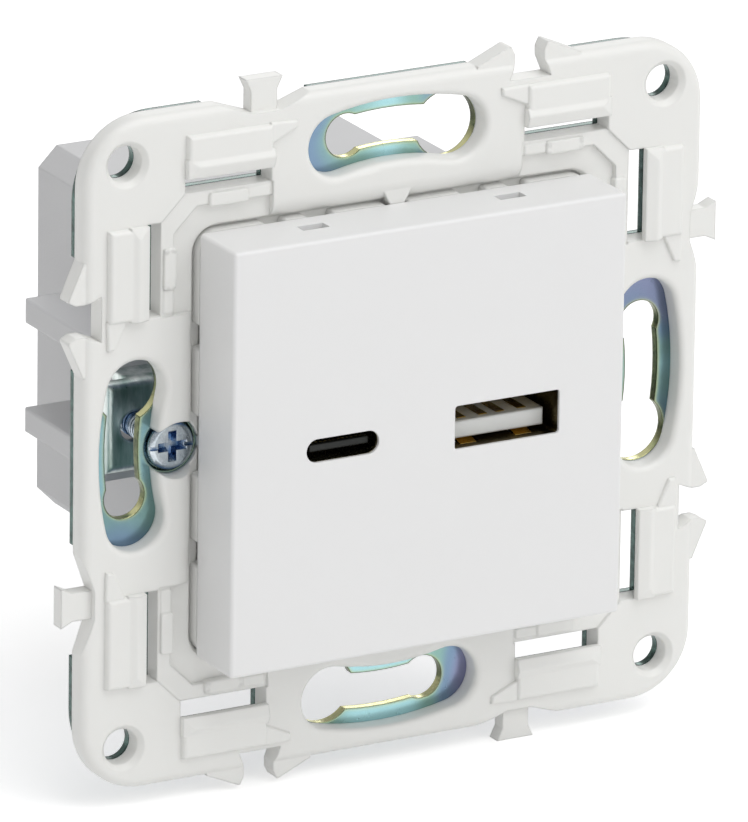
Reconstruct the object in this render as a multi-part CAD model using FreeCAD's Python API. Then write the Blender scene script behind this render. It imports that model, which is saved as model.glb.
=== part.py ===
import FreeCAD, Part
import math
import os

# A flush-mounted USB charging socket, without its trim frame: a square cover with two ports,
# a support frame on a steel plate, spreading claws and a closed electronics housing.
# Millimetres. +Z up, +X right, the front looks towards -Y.
# The origin is the middle of the steel plate, in the plane of the wall (the plate's rear face).

Vector = FreeCAD.Vector
AXIS_Y = Vector(0, 1, 0)
AXIS_Z = Vector(0, 0, 1)
AXIS_X = Vector(1, 0, 0)

# Steel plate and support frame
FRAME_SIZE = 71.0
FRAME_CORNER_RADIUS = 7.0
PLATE_THICKNESS = 1.0
FRAME_THICKNESS = 2.3
FRAME_EDGE_ROUND = 1.0
OPENING_SIZE = 45.3
OPENING_CORNER_RADIUS = 2.5
OPENING_LIP_RADIUS = 2.1
SEAT_WIDTH = 0.9
SEAT_THICKNESS = 0.6
SEAT_GAP = 0.05
PLATE_INSET = 0.15
PLATE_OPENING_GAP = 1.0

# Fixing holes and slots
CORNER_HOLE_PITCH = 61.66
CORNER_HOLE_DIAMETER = 3.8
COUNTERSINK_DIAMETER = 4.9
COUNTERSINK_DEPTH = 0.6
WINDOW_CENTRE_RADIUS = 30.25
WINDOW_WIDTH = 6.6
WINDOW_HALF_ANGLE = 13.0
WINDOW_EDGE_ROUND = 0.7
SLOT_RADIUS = 30.1
SLOT_NECK_WIDTH = 3.8
SLOT_SMALL_DIAMETER = 4.6
SLOT_SMALL_ANGLE = -9.3
SLOT_LARGE_DIAMETER = 6.9
SLOT_LARGE_ANGLE = 12.6

# Coupling tabs and notches that join frames side by side
COUPLING_OFFSET = 15.1
TAB_NECK_WIDTH = 3.0
TAB_HEAD_WIDTH = 4.2
TAB_REACH = 2.1
TAB_THICKNESS = 1.6
DIP_HALF_LENGTH = 5.2
DIP_DEPTH = 1.3
HORN_HALF_LENGTH = 6.0
HORN_REACH = 1.6
NOTCH_MOUTH_WIDTH = 3.4
NOTCH_FLOOR_WIDTH = 4.8
NOTCH_DEPTH = 1.9

# Clip slots for the trim frame, with the ridged blocks whose lips hold the clips
CLIP_START = 14.5
CLIP_END = 24.3
CLIP_INNER = 26.9
CLIP_OUTER = 29.86
LIP_EDGE = 28.55
LIP_HEIGHT = 0.62
LIP_SINK = 0.1
CREST = 29.7
CREST_WIDTH = 0.15
CREST_HEIGHT = 1.0
CREST_FOOT = 30.6
BLOCK_HEIGHT = 0.72
BLOCK_OUTER = 33.1
BLOCK_DRAFT = 0.2
BLOCK_HIP = 1.1
BLOCK_EDGE_ROUND = 0.35
TAIL_LENGTH = 2.8
TAIL_ROOT_WIDTH = 2.1
TAIL_TIP_WIDTH = 0.85
TAIL_SINK = 0.3
TAIL_EDGE_ROUND = 0.2

# Land and ring round the opening
LAND_DEPTH = 0.25
RING_DEPTH = 0.8
RING_EDGE = 25.4
LUG_HEIGHT = 0.35
LUG_STEP = 0.2
LUG_INNER = 25.2
LUG_LOW_LENGTH = 2.7
LUG_HIGH_LENGTH = 4.4
LUG_SIDE_GAP = 0.3
LUG_EDGE_ROUND = 0.3
RETAINER_TOP = 24.2
RETAINER_TOP_WIDTH = 3.5
RETAINER_TIP_WIDTH = 1.25
RETAINER_OVERLAP = 0.5

# Steel plate outline
PLATE_STEP_INNER = 9.2
PLATE_STEP_OUTER = 21.1
PLATE_STEP_DEPTH = 2.4
PLATE_CORNER_RADIUS = 8.5

# Cover
COVER_SIZE = 45.0
COVER_PROUD = 7.2
COVER_SINK = 0.05
COVER_WALL = 1.8
COVER_EDGE_ROUND = 0.4
HOOK_OFFSET = 11.3
HOOK_WIDTH = 3.0
HOOK_HEIGHT = 1.5
HOOK_FROM_FRONT = 3.6
HOOK_POST_THICKNESS = 1.2

# Ports
PORT_HEIGHT = 0.35
PORT_LIP = 0.35
USB_A_X = 8.97
USB_A_OPENING = (12.1, 4.65)
USB_A_CAVITY = (12.5, 5.12)
USB_A_SHEET = 0.3
USB_A_CORNER = 0.3
USB_A_TONGUE_WIDTH = 11.1
USB_A_TONGUE_THICKNESS = 1.84
USB_A_TONGUE_DROP = 1.16
USB_A_TONGUE_RECESS = 2.35
USB_A_TONGUE_ROUND = 0.25
USB_A_CONTACT_RECESS = 0.9
USB_A_CONTACT_OFFSETS = (-3.5, -1.0, 1.0, 3.5)
USB_A_CONTACT_WIDTH = 1.0
USB_A_CONTACT_THICKNESS = 0.25
USB_A_CONTACT_PROUD = 0.05
USB_A_FINGER_OFFSET = 3.2
USB_A_FINGER_WIDTH = 1.9
USB_A_FINGER_FRONT = 1.8
USB_A_FINGER_TIP = 1.8
USB_A_FINGER_ROOT = 7.5
USB_A_FINGER_GAP = 0.25
USB_A_FINGER_DIP = 0.35
USB_C_X = -9.95
USB_C_OPENING = (8.3, 2.5)
USB_C_CAVITY = (8.34, 2.56)
USB_C_SHEET = 0.3
USB_C_TONGUE_WIDTH = 6.7
USB_C_TONGUE_THICKNESS = 0.7
USB_C_TONGUE_RECESS = 0.9
USB_C_CONTACTS_A_SIDE = 12
USB_C_CONTACT_PITCH = 0.5
USB_C_CONTACT_WIDTH = 0.25
USB_C_CONTACT_THICKNESS = 0.05
PORT_BASE_LENGTH = 4.5
PORT_RIM = 1.0

# Housing
HOUSING_SIZE = 39.0
HOUSING_DEPTH = 37.7
HOUSING_CHAMFER = 2.1
HOUSING_WALL = 1.6
REAR_WALL = 1.8
FIT_GAP = 0.2
HOUSING_STEP_WIDTH = 4.0
CARRIER_SIDE_GAP = 0.12
CARRIER_GAP = 0.1
CARRIER_CORNER = 2.2
SKIRT_WALL = 1.2
SKIRT_LENGTH = 5.4
NOTCH_CORNER = 0.4
HOOK_NOTCHES = ((7.4, 10.2), (12.9, 15.0))
SIDE_NOTCH = (10.3, 12.7)
RETAINER_NOTCH_WIDTH = 2.4
SCREW_NOTCH_WIDTH = 6.2
RIB_THICKNESS = 2.65
RIB_LENGTH = 6.8
RIB_INNER = 4.55
RIB_START = 10.0
RIB_END = 27.5
RIB_EDGE_ROUND = 0.3

# Spreading claws and their screws
CLAW_SCREW_INSET = 2.05
CLAW_SCREW_DIAMETER = 3.0
CLAW_SCREW_CORE = 2.6
CLAW_SCREW_TIP = 16.0
CLAW_SCREW_HOLE = 3.4
CLAW_HEAD_DIAMETER = 5.15
CLAW_HEAD_HEIGHT = 1.3
CLAW_HEAD_POCKET = 6.0
CLAW_RECESS_WIDTH = 1.0
CLAW_RECESS_REACH = 1.7
CLAW_RECESS_DEPTH = 0.9
DIMPLE_DIAMETER = 5.6
DIMPLE_DEPTH = 0.5
DIMPLE_RIM = 0.4
RECESS_TAPER = 0.6
CLAW_SHEET = 1.0
CLAW_HALF_HEIGHT = 4.9
CLAW_FRONT = 5.4
CLAW_TOOTH_REACH = 3.8
CLAW_PIVOT_GAP = 1.0
CLAW_LEG_LENGTH = 3.4
CLAW_ARM_REACH = 1.0
CLAW_ARM_LENGTH = 3.0
CLAW_BEND_RADIUS = 0.9
CLAW_TEETH = 5
CLAW_TOOTH_DEPTH = 0.8
CLAW_SLOT_LENGTH = 3.8
CLAW_SLOT_SHIFT = 0.2
CLAW_SLOT_GAP = 0.1

# Boards and the screws that hold the two housings together
BOARD_THICKNESS = 1.6
BOARD_GAP = 0.3
TERMINAL_ROOM = 17.1
LEDGE_WIDTH = 1.6
HOUSING_SCREW_INSET = 3.2
HOUSING_SCREW_DIAMETER = 2.4
HOUSING_SCREW_HOLE = 2.8
HOUSING_SCREW_HEAD = 4.4
HOUSING_SCREW_HEAD_HEIGHT = 1.4
HOUSING_SCREW_TIP_GAP = 2.0
BOSS_RADIUS = 2.5
BOSS_END_GAP = 3.6

# Mains terminals
TERMINAL_X = 7.0
TERMINAL_INSET = 6.7
TERMINAL_WIDTH = 6.6
TERMINAL_DEPTH = 6.0
CAGE_WALL = 1.0
CAGE_OPENING = 3.6
BAR_THICKNESS = 1.2
BAR_WIDTH = 4.2
CAGE_HEADROOM = 0.3
CAGE_TRAVEL = 2.3
TERMINAL_SCREW_DIAMETER = 3.0
TERMINAL_SCREW_HEAD = 5.0
TERMINAL_HEAD_HEIGHT = 1.5
TERMINAL_HEAD_SINK = 0.6
TERMINAL_HEAD_GAP = 0.2
TERMINAL_SCREW_HOLE = 5.4
WIRE_HOLE_DIAMETER = 3.6
WIRE_FUNNEL = 0.6
THREAD_GAP = 0.05

# Electronics between the boards
CORE_WIDTH = 18.0
CORE_HEIGHT = 14.0
CORE_END_GAP = 0.8
CORE_Z = -7.2
CORE_LEG = 3.6
FORMER_FOOT = 1.0
INPUT_CAPACITOR_DIAMETER = 8.0
INPUT_CAPACITOR_END_GAP = 1.2
INPUT_CAPACITOR_PITCH = 9.0
CAPACITOR_Z = 9.0
OUTPUT_CAPACITOR_DIAMETER = 6.3
OUTPUT_CAPACITOR_END_GAP = 4.6
OUTPUT_CAPACITOR_X = 9.0
FILM_CAPACITOR_WIDTH = 4.5
FILM_CAPACITOR_HEIGHT = 11.0
FILM_CAPACITOR_END_GAP = 1.2
FILM_CAPACITOR_INSET = 4.5
FILM_CAPACITOR_Z = -4.0
FUSE_DIAMETER = 3.4
FUSE_LENGTH = 8.5
FUSE_INSET = 3.9
RECTIFIER_SIZE = (6.4, 2.4, 4.6)
RECTIFIER_Z = -3.7
CONTROLLER_SIZE = (5.0, 1.0, 5.0)
LINK_PINS = 4
LINK_PITCH = 1.5
LINK_PIN = 0.6
LINK_INSET = 3.1
LINK_Z = 8.2
LINK_BODY = 2.0

# Places worked out from the sizes above
FRAME_HALF = FRAME_SIZE / 2
FRAME_FRONT = -(PLATE_THICKNESS + FRAME_THICKNESS)
OPENING_HALF = OPENING_SIZE / 2
COVER_HALF = COVER_SIZE / 2
COVER_FRONT = FRAME_FRONT - COVER_PROUD
COVER_BACK = FRAME_FRONT + COVER_SINK
COVER_INSIDE = COVER_FRONT + COVER_WALL
PLATE_HALF = FRAME_HALF - PLATE_INSET
SEAT_FRONT = -PLATE_THICKNESS - SEAT_THICKNESS
SEAT_HALF = OPENING_HALF - SEAT_WIDTH
CARRIER_FRONT = COVER_BACK + CARRIER_GAP
CARRIER_BACK = -PLATE_THICKNESS
CARRIER_HALF = OPENING_HALF - CARRIER_SIDE_GAP
CARRIER_STEP = SEAT_FRONT - SEAT_GAP
CARRIER_INNER_HALF = SEAT_HALF - CARRIER_SIDE_GAP
HOUSING_HALF = HOUSING_SIZE / 2
INNER_HALF = HOUSING_HALF - HOUSING_WALL
SKIRT_HALF = INNER_HALF - FIT_GAP
PLATE_OPENING_HALF = SKIRT_HALF + PLATE_OPENING_GAP
OUTPUT_BOARD_FRONT = SKIRT_LENGTH
OUTPUT_BOARD_BACK = OUTPUT_BOARD_FRONT + BOARD_THICKNESS
POWER_BOARD_FRONT = HOUSING_DEPTH - TERMINAL_ROOM
POWER_BOARD_BACK = POWER_BOARD_FRONT + BOARD_THICKNESS
HOUSING_STEP = POWER_BOARD_BACK + REAR_WALL
HOUSING_RIGHT = HOUSING_HALF - HOUSING_STEP_WIDTH
REAR_INSIDE = HOUSING_DEPTH - REAR_WALL
HOUSING_SCREW_OFFSET = INNER_HALF - HOUSING_SCREW_INSET
BOSS_BACK = POWER_BOARD_FRONT - BOSS_END_GAP
HOUSING_SCREW_TIP = BOSS_BACK - HOUSING_SCREW_TIP_GAP
SHELL_FRONT = COVER_FRONT + PORT_LIP + CARRIER_GAP
RIB_REACH = HOUSING_HALF + RIB_LENGTH
CLAW_SCREW_X = OPENING_HALF + CLAW_SCREW_INSET
CLAW_REACH = CLAW_SCREW_X + CLAW_TOOTH_REACH
CLAW_ARM_END = CLAW_SCREW_X + CLAW_ARM_REACH
CLAW_PIVOT_X = HOUSING_HALF + CLAW_PIVOT_GAP
CLAW_HEAD_SEAT = -PLATE_THICKNESS + DIMPLE_DEPTH
TERMINAL_Y = HOUSING_DEPTH - TERMINAL_INSET
TERMINAL_HEAD_TOP = HOUSING_HALF - TERMINAL_HEAD_SINK
TERMINAL_HEAD_BOTTOM = TERMINAL_HEAD_TOP - TERMINAL_HEAD_HEIGHT
CAGE_TOP = TERMINAL_HEAD_BOTTOM - TERMINAL_HEAD_GAP - CAGE_TRAVEL
BAR_TOP = CAGE_TOP - CAGE_WALL - CAGE_HEADROOM


def box(x0, x1, y0, y1, z0, z1):
    """A block between two corners."""
    return Part.makeBox(x1 - x0, y1 - y0, z1 - z0, Vector(x0, y0, z0))


def rod(x, z, radius, y0, y1):
    """A round bar along Y."""
    return Part.makeCylinder(radius, y1 - y0, Vector(x, y0, z), AXIS_Y)


def prism(points, y0, y1):
    """A straight-sided outline of (x, z) points, extruded along Y."""
    corners = [Vector(x, y0, z) for x, z in points]
    face = Part.Face(Part.makePolygon(corners + corners[:1]))
    return face.extrude(Vector(0, y1 - y0, 0))


def rounded_box(x0, x1, y0, y1, z0, z1, corner):
    """A block between two corners, its four edges along Y rounded."""
    block = box(x0, x1, y0, y1, z0, z1)
    return block.makeFillet(corner, edges_along_y(block))


def square(half, y0, y1, corner):
    """A square block centred on the axis, its four long edges rounded."""
    return rounded_box(-half, half, y0, y1, -half, half, corner)


def chamfered_block(left, right, half, y0, y1, chamfer):
    """A block from left to right, as tall as it is deep about the axis, its long edges cut at 45 degrees."""
    outline = [(left + chamfer, half), (right - chamfer, half),
               (right, half - chamfer), (right, chamfer - half),
               (right - chamfer, -half), (left + chamfer, -half),
               (left, chamfer - half), (left, half - chamfer)]
    return prism(outline, y0, y1)


def stadium(x, z, width, height, y0, y1, corner=None):
    """A rounded slot outline along Y; its ends are half rounds unless a corner radius is given."""
    radius = height / 2 - 0.001 if corner is None else corner
    return rounded_box(x - width / 2, x + width / 2, y0, y1, z - height / 2, z + height / 2, radius)


def edges_along_y(shape):
    """The straight edges that run along Y."""
    return [edge for edge in shape.Edges
            if edge.Length > 0.01 and abs(abs(edge.tangentAt(edge.FirstParameter).y) - 1) < 1e-6]


def edges_in_plane(shape, y, keep=lambda edge: True):
    """The edges that lie in the plane of one Y."""
    found = []
    for edge in shape.Edges:
        bounds = edge.BoundBox
        if abs(bounds.YMin - y) < 1e-4 and abs(bounds.YMax - y) < 1e-4 and keep(edge):
            found.append(edge)
    return found


def turned(shape, quarters):
    """A copy turned clockwise, as seen from the front, by quarter turns."""
    copy = shape.copy()
    copy.rotate(Vector(0, 0, 0), AXIS_Y, 90 * quarters)
    return copy


def mirrored_x(shape):
    """A copy mirrored from left to right."""
    return shape.mirror(Vector(0, 0, 0), AXIS_X)


def mirrored_z(shape):
    """A copy mirrored from top to bottom."""
    return shape.mirror(Vector(0, 0, 0), AXIS_Z)


def joined(shapes):
    """One solid from solids that touch or overlap."""
    whole = shapes[0]
    for shape in shapes[1:]:
        whole = whole.fuse(shape)
    return whole.removeSplitter()


def four_times(shape):
    """The same feature on all four sides."""
    return [turned(shape, quarter) for quarter in range(4)]


def polar(radius, degrees):
    """The point at an angle clockwise from the top."""
    angle = math.radians(degrees)
    return radius * math.sin(angle), radius * math.cos(angle)


def arc_slot(radius, width, start, end, y0, y1):
    """A slot bent round the axis, from one angle to another, with round ends."""
    inner, outer = radius - width / 2, radius + width / 2
    middle = (start + end) / 2

    def point(distance, degrees):
        x, z = polar(distance, degrees)
        return Vector(x, y0, z)

    def cap(degrees, side):
        x, z = polar(radius, degrees)
        along = math.radians(degrees)
        reach = side * width / 2
        tip = Vector(x + reach * math.cos(along), y0, z - reach * math.sin(along))
        return Part.Arc(point(outer, degrees), tip, point(inner, degrees)).toShape()

    edges = [Part.Arc(point(outer, start), point(outer, middle), point(outer, end)).toShape(),
             cap(end, 1),
             Part.Arc(point(inner, end), point(inner, middle), point(inner, start)).toShape(),
             cap(start, -1)]
    face = Part.Face(Part.Wire(Part.__sortEdges__(edges)))
    return face.extrude(Vector(0, y1 - y0, 0))


def window(y0, y1):
    """The banana-shaped window for a box screw, at the top of the frame."""
    return arc_slot(WINDOW_CENTRE_RADIUS, WINDOW_WIDTH, -WINDOW_HALF_ANGLE, WINDOW_HALF_ANGLE, y0, y1)


def window_edges(body, y):
    """The rims of the four windows in the plane of one Y."""
    inner = WINDOW_CENTRE_RADIUS - WINDOW_WIDTH / 2 - 0.1
    outer = WINDOW_CENTRE_RADIUS + WINDOW_WIDTH / 2 + 0.1

    def on_rim(edge):
        middle = edge.valueAt((edge.FirstParameter + edge.LastParameter) / 2)
        return inner < math.hypot(middle.x, middle.z) < outer

    return edges_in_plane(body, y, on_rim)


def keyhole(y0, y1):
    """The steel plate's slot behind a window: a narrow arc with a small and a large end."""
    neck = arc_slot(SLOT_RADIUS, SLOT_NECK_WIDTH, SLOT_SMALL_ANGLE, SLOT_LARGE_ANGLE, y0, y1)
    small_x, small_z = polar(SLOT_RADIUS, SLOT_SMALL_ANGLE)
    large_x, large_z = polar(SLOT_RADIUS, SLOT_LARGE_ANGLE)
    small = rod(small_x, small_z, SLOT_SMALL_DIAMETER / 2, y0, y1)
    large = rod(large_x, large_z, SLOT_LARGE_DIAMETER / 2, y0, y1)
    return joined([neck, small, large])


def corner_holes(y0, y1, diameter):
    """The four fixing holes in the corners."""
    half = CORNER_HOLE_PITCH / 2
    return [rod(x, z, diameter / 2, y0, y1) for x in (-half, half) for z in (-half, half)]


def clip_slots(y0, y1):
    """The eight slots that take the trim frame's clips."""
    right = box(CLIP_START, CLIP_END, y0, y1, CLIP_INNER, CLIP_OUTER)
    return four_times(right) + four_times(mirrored_x(right))


def coupling_tab():
    """The tab on the top side, with a flared head, set back from the front."""
    neck, head = TAB_NECK_WIDTH / 2, TAB_HEAD_WIDTH / 2
    foot = FRAME_HALF - DIP_DEPTH - 1.0
    shoulder = FRAME_HALF + TAB_REACH * 0.4
    tip = FRAME_HALF + TAB_REACH
    outline = [(-neck, foot), (-neck, shoulder), (-head, tip), (head, tip), (neck, shoulder), (neck, foot)]
    outline = [(x - COUPLING_OFFSET, z) for x, z in outline]
    return prism(outline, -PLATE_THICKNESS - TAB_THICKNESS, -PLATE_THICKNESS)


def coupling_dip(y0, y1):
    """The V-shaped dip beside the tab, where the neighbour's horns go."""
    floor = TAB_NECK_WIDTH / 2
    low, high = FRAME_HALF - DIP_DEPTH, FRAME_HALF
    outline = [(-DIP_HALF_LENGTH, high), (-floor, low), (floor, low), (DIP_HALF_LENGTH, high),
               (DIP_HALF_LENGTH, high + 1), (-DIP_HALF_LENGTH, high + 1)]
    return prism([(x - COUPLING_OFFSET, z) for x, z in outline], y0, y1)


def coupling_horns(y0, y1):
    """The pair of horns that stand beside the notch."""
    base, tip = FRAME_HALF - FRAME_EDGE_ROUND, FRAME_HALF + HORN_REACH
    mouth = NOTCH_MOUTH_WIDTH / 2
    outline = [(-HORN_HALF_LENGTH, FRAME_HALF), (-mouth - 0.7, tip), (mouth + 0.7, tip),
               (HORN_HALF_LENGTH, FRAME_HALF), (HORN_HALF_LENGTH, base), (-HORN_HALF_LENGTH, base)]
    return prism([(x + COUPLING_OFFSET, z) for x, z in outline], y0, y1)


def coupling_notch(y0, y1):
    """The flared notch that takes the neighbour's tab."""
    mouth, floor = NOTCH_MOUTH_WIDTH / 2, NOTCH_FLOOR_WIDTH / 2
    low = FRAME_HALF - NOTCH_DEPTH
    lip, tip = FRAME_HALF + HORN_REACH * 0.5, FRAME_HALF + HORN_REACH
    outline = [(-floor, low), (-mouth, FRAME_HALF - 0.2), (-mouth, lip), (-mouth - 0.4, tip),
               (-mouth - 0.4, tip + 1), (mouth + 0.4, tip + 1), (mouth + 0.4, tip),
               (mouth, lip), (mouth, FRAME_HALF - 0.2), (floor, low)]
    return prism([(x + COUPLING_OFFSET, z) for x, z in outline], y0, y1)


def block_tail(front, back):
    """The short tapering tail that runs on from the block's outer edge."""
    root, tip = CLIP_START, CLIP_START - TAIL_LENGTH
    low = BLOCK_OUTER - TAIL_ROOT_WIDTH
    outline = [(root + 0.3, BLOCK_OUTER), (tip, BLOCK_OUTER - 0.1), (tip + 0.1, BLOCK_OUTER - TAIL_TIP_WIDTH),
               (root, low), (root + 0.3, low)]
    tail = prism(outline, front, back)
    rim = edges_in_plane(tail, front, lambda edge: edge.BoundBox.XMin < root - 0.1)
    return tail.makeFillet(TAIL_EDGE_ROUND, rim)


def ridge_block():
    """The raised block on the right of the top side: a ridge whose lip reaches over the clip slot."""
    front, back = FRAME_FRONT - BLOCK_HEIGHT, FRAME_FRONT + 0.5
    length, width = CLIP_END - CLIP_START, BLOCK_OUTER - CLIP_OUTER
    # A wedge grows along its own Y, here from below the frame's face towards the front
    flat = Part.makeWedge(0, 0, 0, BLOCK_DRAFT, BLOCK_DRAFT,
                          length, back - front, width, width, length - BLOCK_DRAFT)
    ridge = Part.makeWedge(0, 0, 0, CREST_FOOT - CREST - CREST_WIDTH, 0,
                           length, CREST_HEIGHT - LIP_HEIGHT, CREST_FOOT - LIP_EDGE,
                           CREST_FOOT - CREST, length - BLOCK_HIP)
    for wedge in (flat, ridge):
        wedge.rotate(Vector(0, 0, 0), AXIS_X, 180)
    flat.translate(Vector(CLIP_START, back, BLOCK_OUTER))
    ridge.translate(Vector(CLIP_START, FRAME_FRONT - LIP_HEIGHT, CREST_FOOT))
    rim = edges_in_plane(flat, front, lambda edge: edge.BoundBox.ZMax > CLIP_OUTER + 0.1)
    flat = flat.makeFillet(BLOCK_EDGE_ROUND, rim)
    lip = box(CLIP_START, CLIP_END, FRAME_FRONT - LIP_HEIGHT, FRAME_FRONT + LIP_SINK, LIP_EDGE, CREST_FOOT)
    return joined([flat, lip, ridge, block_tail(front + TAIL_SINK, back)])


def corner_ring(edge, y0, y1):
    """The area inside an octagon at one corner of the opening, beyond the middle of each side."""
    start = CLIP_START - 0.2
    cut = edge - (CLIP_INNER - CLIP_END)
    outline = [(start, 0), (start, edge), (cut, edge), (edge, cut), (edge, start), (0, start)]
    return prism(outline, y0, y1)


def lug(start, length, top, inner):
    """One low lug between the clip slots and the opening, with a rounded top."""
    block = box(start, start + length, top, FRAME_FRONT + RING_DEPTH + 0.1, inner, CLIP_INNER - LUG_SIDE_GAP)
    block = block.makeFillet(LUG_EDGE_ROUND, edges_along_y(block))
    return block.makeFillet(LUG_EDGE_ROUND * 0.6, edges_in_plane(block, top))


def lugs():
    """The low and the high lug on the right of the top side."""
    top = FRAME_FRONT + LAND_DEPTH - LUG_HEIGHT
    start = CLIP_START + 0.1
    low = lug(start, LUG_LOW_LENGTH, top + LUG_STEP, RING_EDGE)
    high = lug(start + LUG_LOW_LENGTH - 0.2, LUG_HIGH_LENGTH, top, LUG_INNER)
    return low.fuse(high)


def retainer():
    """The tab on the upper lip whose tip reaches over the carrier's edge."""
    top, tip = RETAINER_TOP_WIDTH / 2, RETAINER_TIP_WIDTH / 2
    low = CARRIER_HALF - RETAINER_OVERLAP
    outline = [(-top, RETAINER_TOP), (top, RETAINER_TOP), (tip, low), (-tip, low)]
    return prism(outline, CARRIER_FRONT, SEAT_FRONT + 0.1)


def frame_slab():
    """The frame's square slab with its rounded edge, windows, horns and the lipped opening."""
    y0, y1 = FRAME_FRONT, -PLATE_THICKNESS
    slab = square(FRAME_HALF, y0, y1, FRAME_CORNER_RADIUS)
    slab = slab.makeFillet(FRAME_EDGE_ROUND, edges_in_plane(slab, y0))
    slab = slab.cut(four_times(window(y0 - 1, y1 + 1)))
    slab = slab.makeFillet(WINDOW_EDGE_ROUND, window_edges(slab, y0))
    slab = slab.fuse(four_times(coupling_horns(y0 + 0.3, y1))).removeSplitter()
    slab = slab.cut(square(OPENING_HALF, y0 - 1, y1 + 1, OPENING_CORNER_RADIUS))
    reach = OPENING_HALF + 0.1
    rim = edges_in_plane(slab, y0, lambda edge: max(edge.BoundBox.XMax, edge.BoundBox.ZMax) < reach
                         and min(edge.BoundBox.XMin, edge.BoundBox.ZMin) > -reach)
    slab = slab.makeFillet(OPENING_LIP_RADIUS, rim)
    seat = square(OPENING_HALF + 0.5, SEAT_FRONT, y1, OPENING_CORNER_RADIUS)
    return slab.fuse(seat).cut(square(SEAT_HALF, y0 - 1, y1 + 1, OPENING_CORNER_RADIUS))


def support_frame():
    """The white frame, moulded with windows, clip slots, ramps and coupling tabs on each side."""
    y0, y1 = FRAME_FRONT, -PLATE_THICKNESS
    body = frame_slab()
    body = body.cut(four_times(corner_ring(CLIP_INNER, y0 - 1, y0 + LAND_DEPTH)))
    body = body.cut(four_times(corner_ring(RING_EDGE, y0 - 1, y0 + RING_DEPTH)))
    body = body.cut(clip_slots(y0 - 1, y1 + 1))
    tab = retainer()
    raised = [tab, turned(tab, 2)]
    for piece in (lugs(), ridge_block()):
        raised += four_times(piece) + four_times(mirrored_x(piece))
    body = body.fuse(raised)
    body = body.cut(four_times(coupling_dip(y0 - 1, y1 + 1)) + four_times(coupling_notch(y0 - 1, y1 + 1)))
    body = body.fuse(four_times(coupling_tab()))
    half = CORNER_HOLE_PITCH / 2
    sinks = [Part.makeCone(COUNTERSINK_DIAMETER / 2, CORNER_HOLE_DIAMETER / 2, COUNTERSINK_DEPTH,
                           Vector(x, y0, z), AXIS_Y) for x in (-half, half) for z in (-half, half)]
    pockets = [rod(x, 0, CLAW_HEAD_POCKET / 2, y0 - 1, y1 + 1) for x in (-CLAW_SCREW_X, CLAW_SCREW_X)]
    return body.cut(corner_holes(y0 - 1, y1 + 1, CORNER_HOLE_DIAMETER) + sinks + pockets).removeSplitter()


def mounting_plate():
    """The stamped steel plate with its keyhole slots, stepped outline and square opening."""
    y0, y1 = -PLATE_THICKNESS, 0.0
    plate = square(PLATE_HALF, y0, y1, PLATE_CORNER_RADIUS)
    step = box(PLATE_STEP_INNER, PLATE_STEP_OUTER, y0 - 1, y1 + 1,
               PLATE_HALF - PLATE_STEP_DEPTH, PLATE_HALF + 1)
    plate = plate.cut(four_times(step) + four_times(mirrored_x(step)))
    sides = (-CLAW_SCREW_X, CLAW_SCREW_X)
    plate = plate.fuse([rod(x, 0, DIMPLE_DIAMETER / 2 + DIMPLE_RIM, y0, y1 + DIMPLE_DEPTH) for x in sides])
    cuts = [square(PLATE_OPENING_HALF, y0 - 1, y1 + 1, OPENING_CORNER_RADIUS)]
    cuts += four_times(keyhole(y0 - 1, y1 + 1))
    cuts += corner_holes(y0 - 1, y1 + 1, CORNER_HOLE_DIAMETER)
    cuts += clip_slots(y0 - 1, y1 + 1)
    cuts += [rod(x, 0, DIMPLE_DIAMETER / 2, y0 - 1, CLAW_HEAD_SEAT) for x in sides]
    cuts += [rod(x, 0, CLAW_SCREW_HOLE / 2, y0 - 1, y1 + 1) for x in sides]
    return plate.cut(cuts).removeSplitter()


def cover():
    """The square cap, open at the back; a thin lip round each port hides the edge of its shell."""
    shell = square(COVER_HALF, COVER_FRONT, COVER_BACK, COVER_EDGE_ROUND)
    shell = shell.makeFillet(COVER_EDGE_ROUND, edges_in_plane(shell, COVER_FRONT))
    hollow = square(COVER_HALF - COVER_WALL, COVER_INSIDE, COVER_BACK + 1, COVER_EDGE_ROUND)
    shell = shell.cut(hollow)
    y0, y1 = COVER_FRONT - 1, COVER_INSIDE + 1
    openings = [stadium(USB_A_X, PORT_HEIGHT, USB_A_OPENING[0], USB_A_OPENING[1], y0, y1, 0.35),
                stadium(USB_C_X, PORT_HEIGHT, USB_C_OPENING[0], USB_C_OPENING[1], y0, y1)]
    hook_front = COVER_FRONT + HOOK_FROM_FRONT
    windows = [box(x - HOOK_WIDTH / 2, x + HOOK_WIDTH / 2, hook_front, hook_front + HOOK_HEIGHT,
                   -COVER_HALF - 1, COVER_HALF + 1) for x in (-HOOK_OFFSET, HOOK_OFFSET)]
    inner = box(-COVER_HALF, COVER_HALF, COVER_INSIDE, COVER_BACK,
                -COVER_HALF + COVER_WALL, COVER_HALF - COVER_WALL)
    windows = [opening.cut(inner) for opening in windows]
    nests = port_tunnels(COVER_FRONT + PORT_LIP, COVER_INSIDE + 1, FIT_GAP)
    return shell.cut(openings + windows + nests)


def edge_notch(x0, x1, y0, y1):
    """A notch in the carrier's upper edge, down to its narrower back."""
    return box(x0, x1, y0 - 1, y1 + 1, CARRIER_INNER_HALF, CARRIER_HALF + 1)


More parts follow.
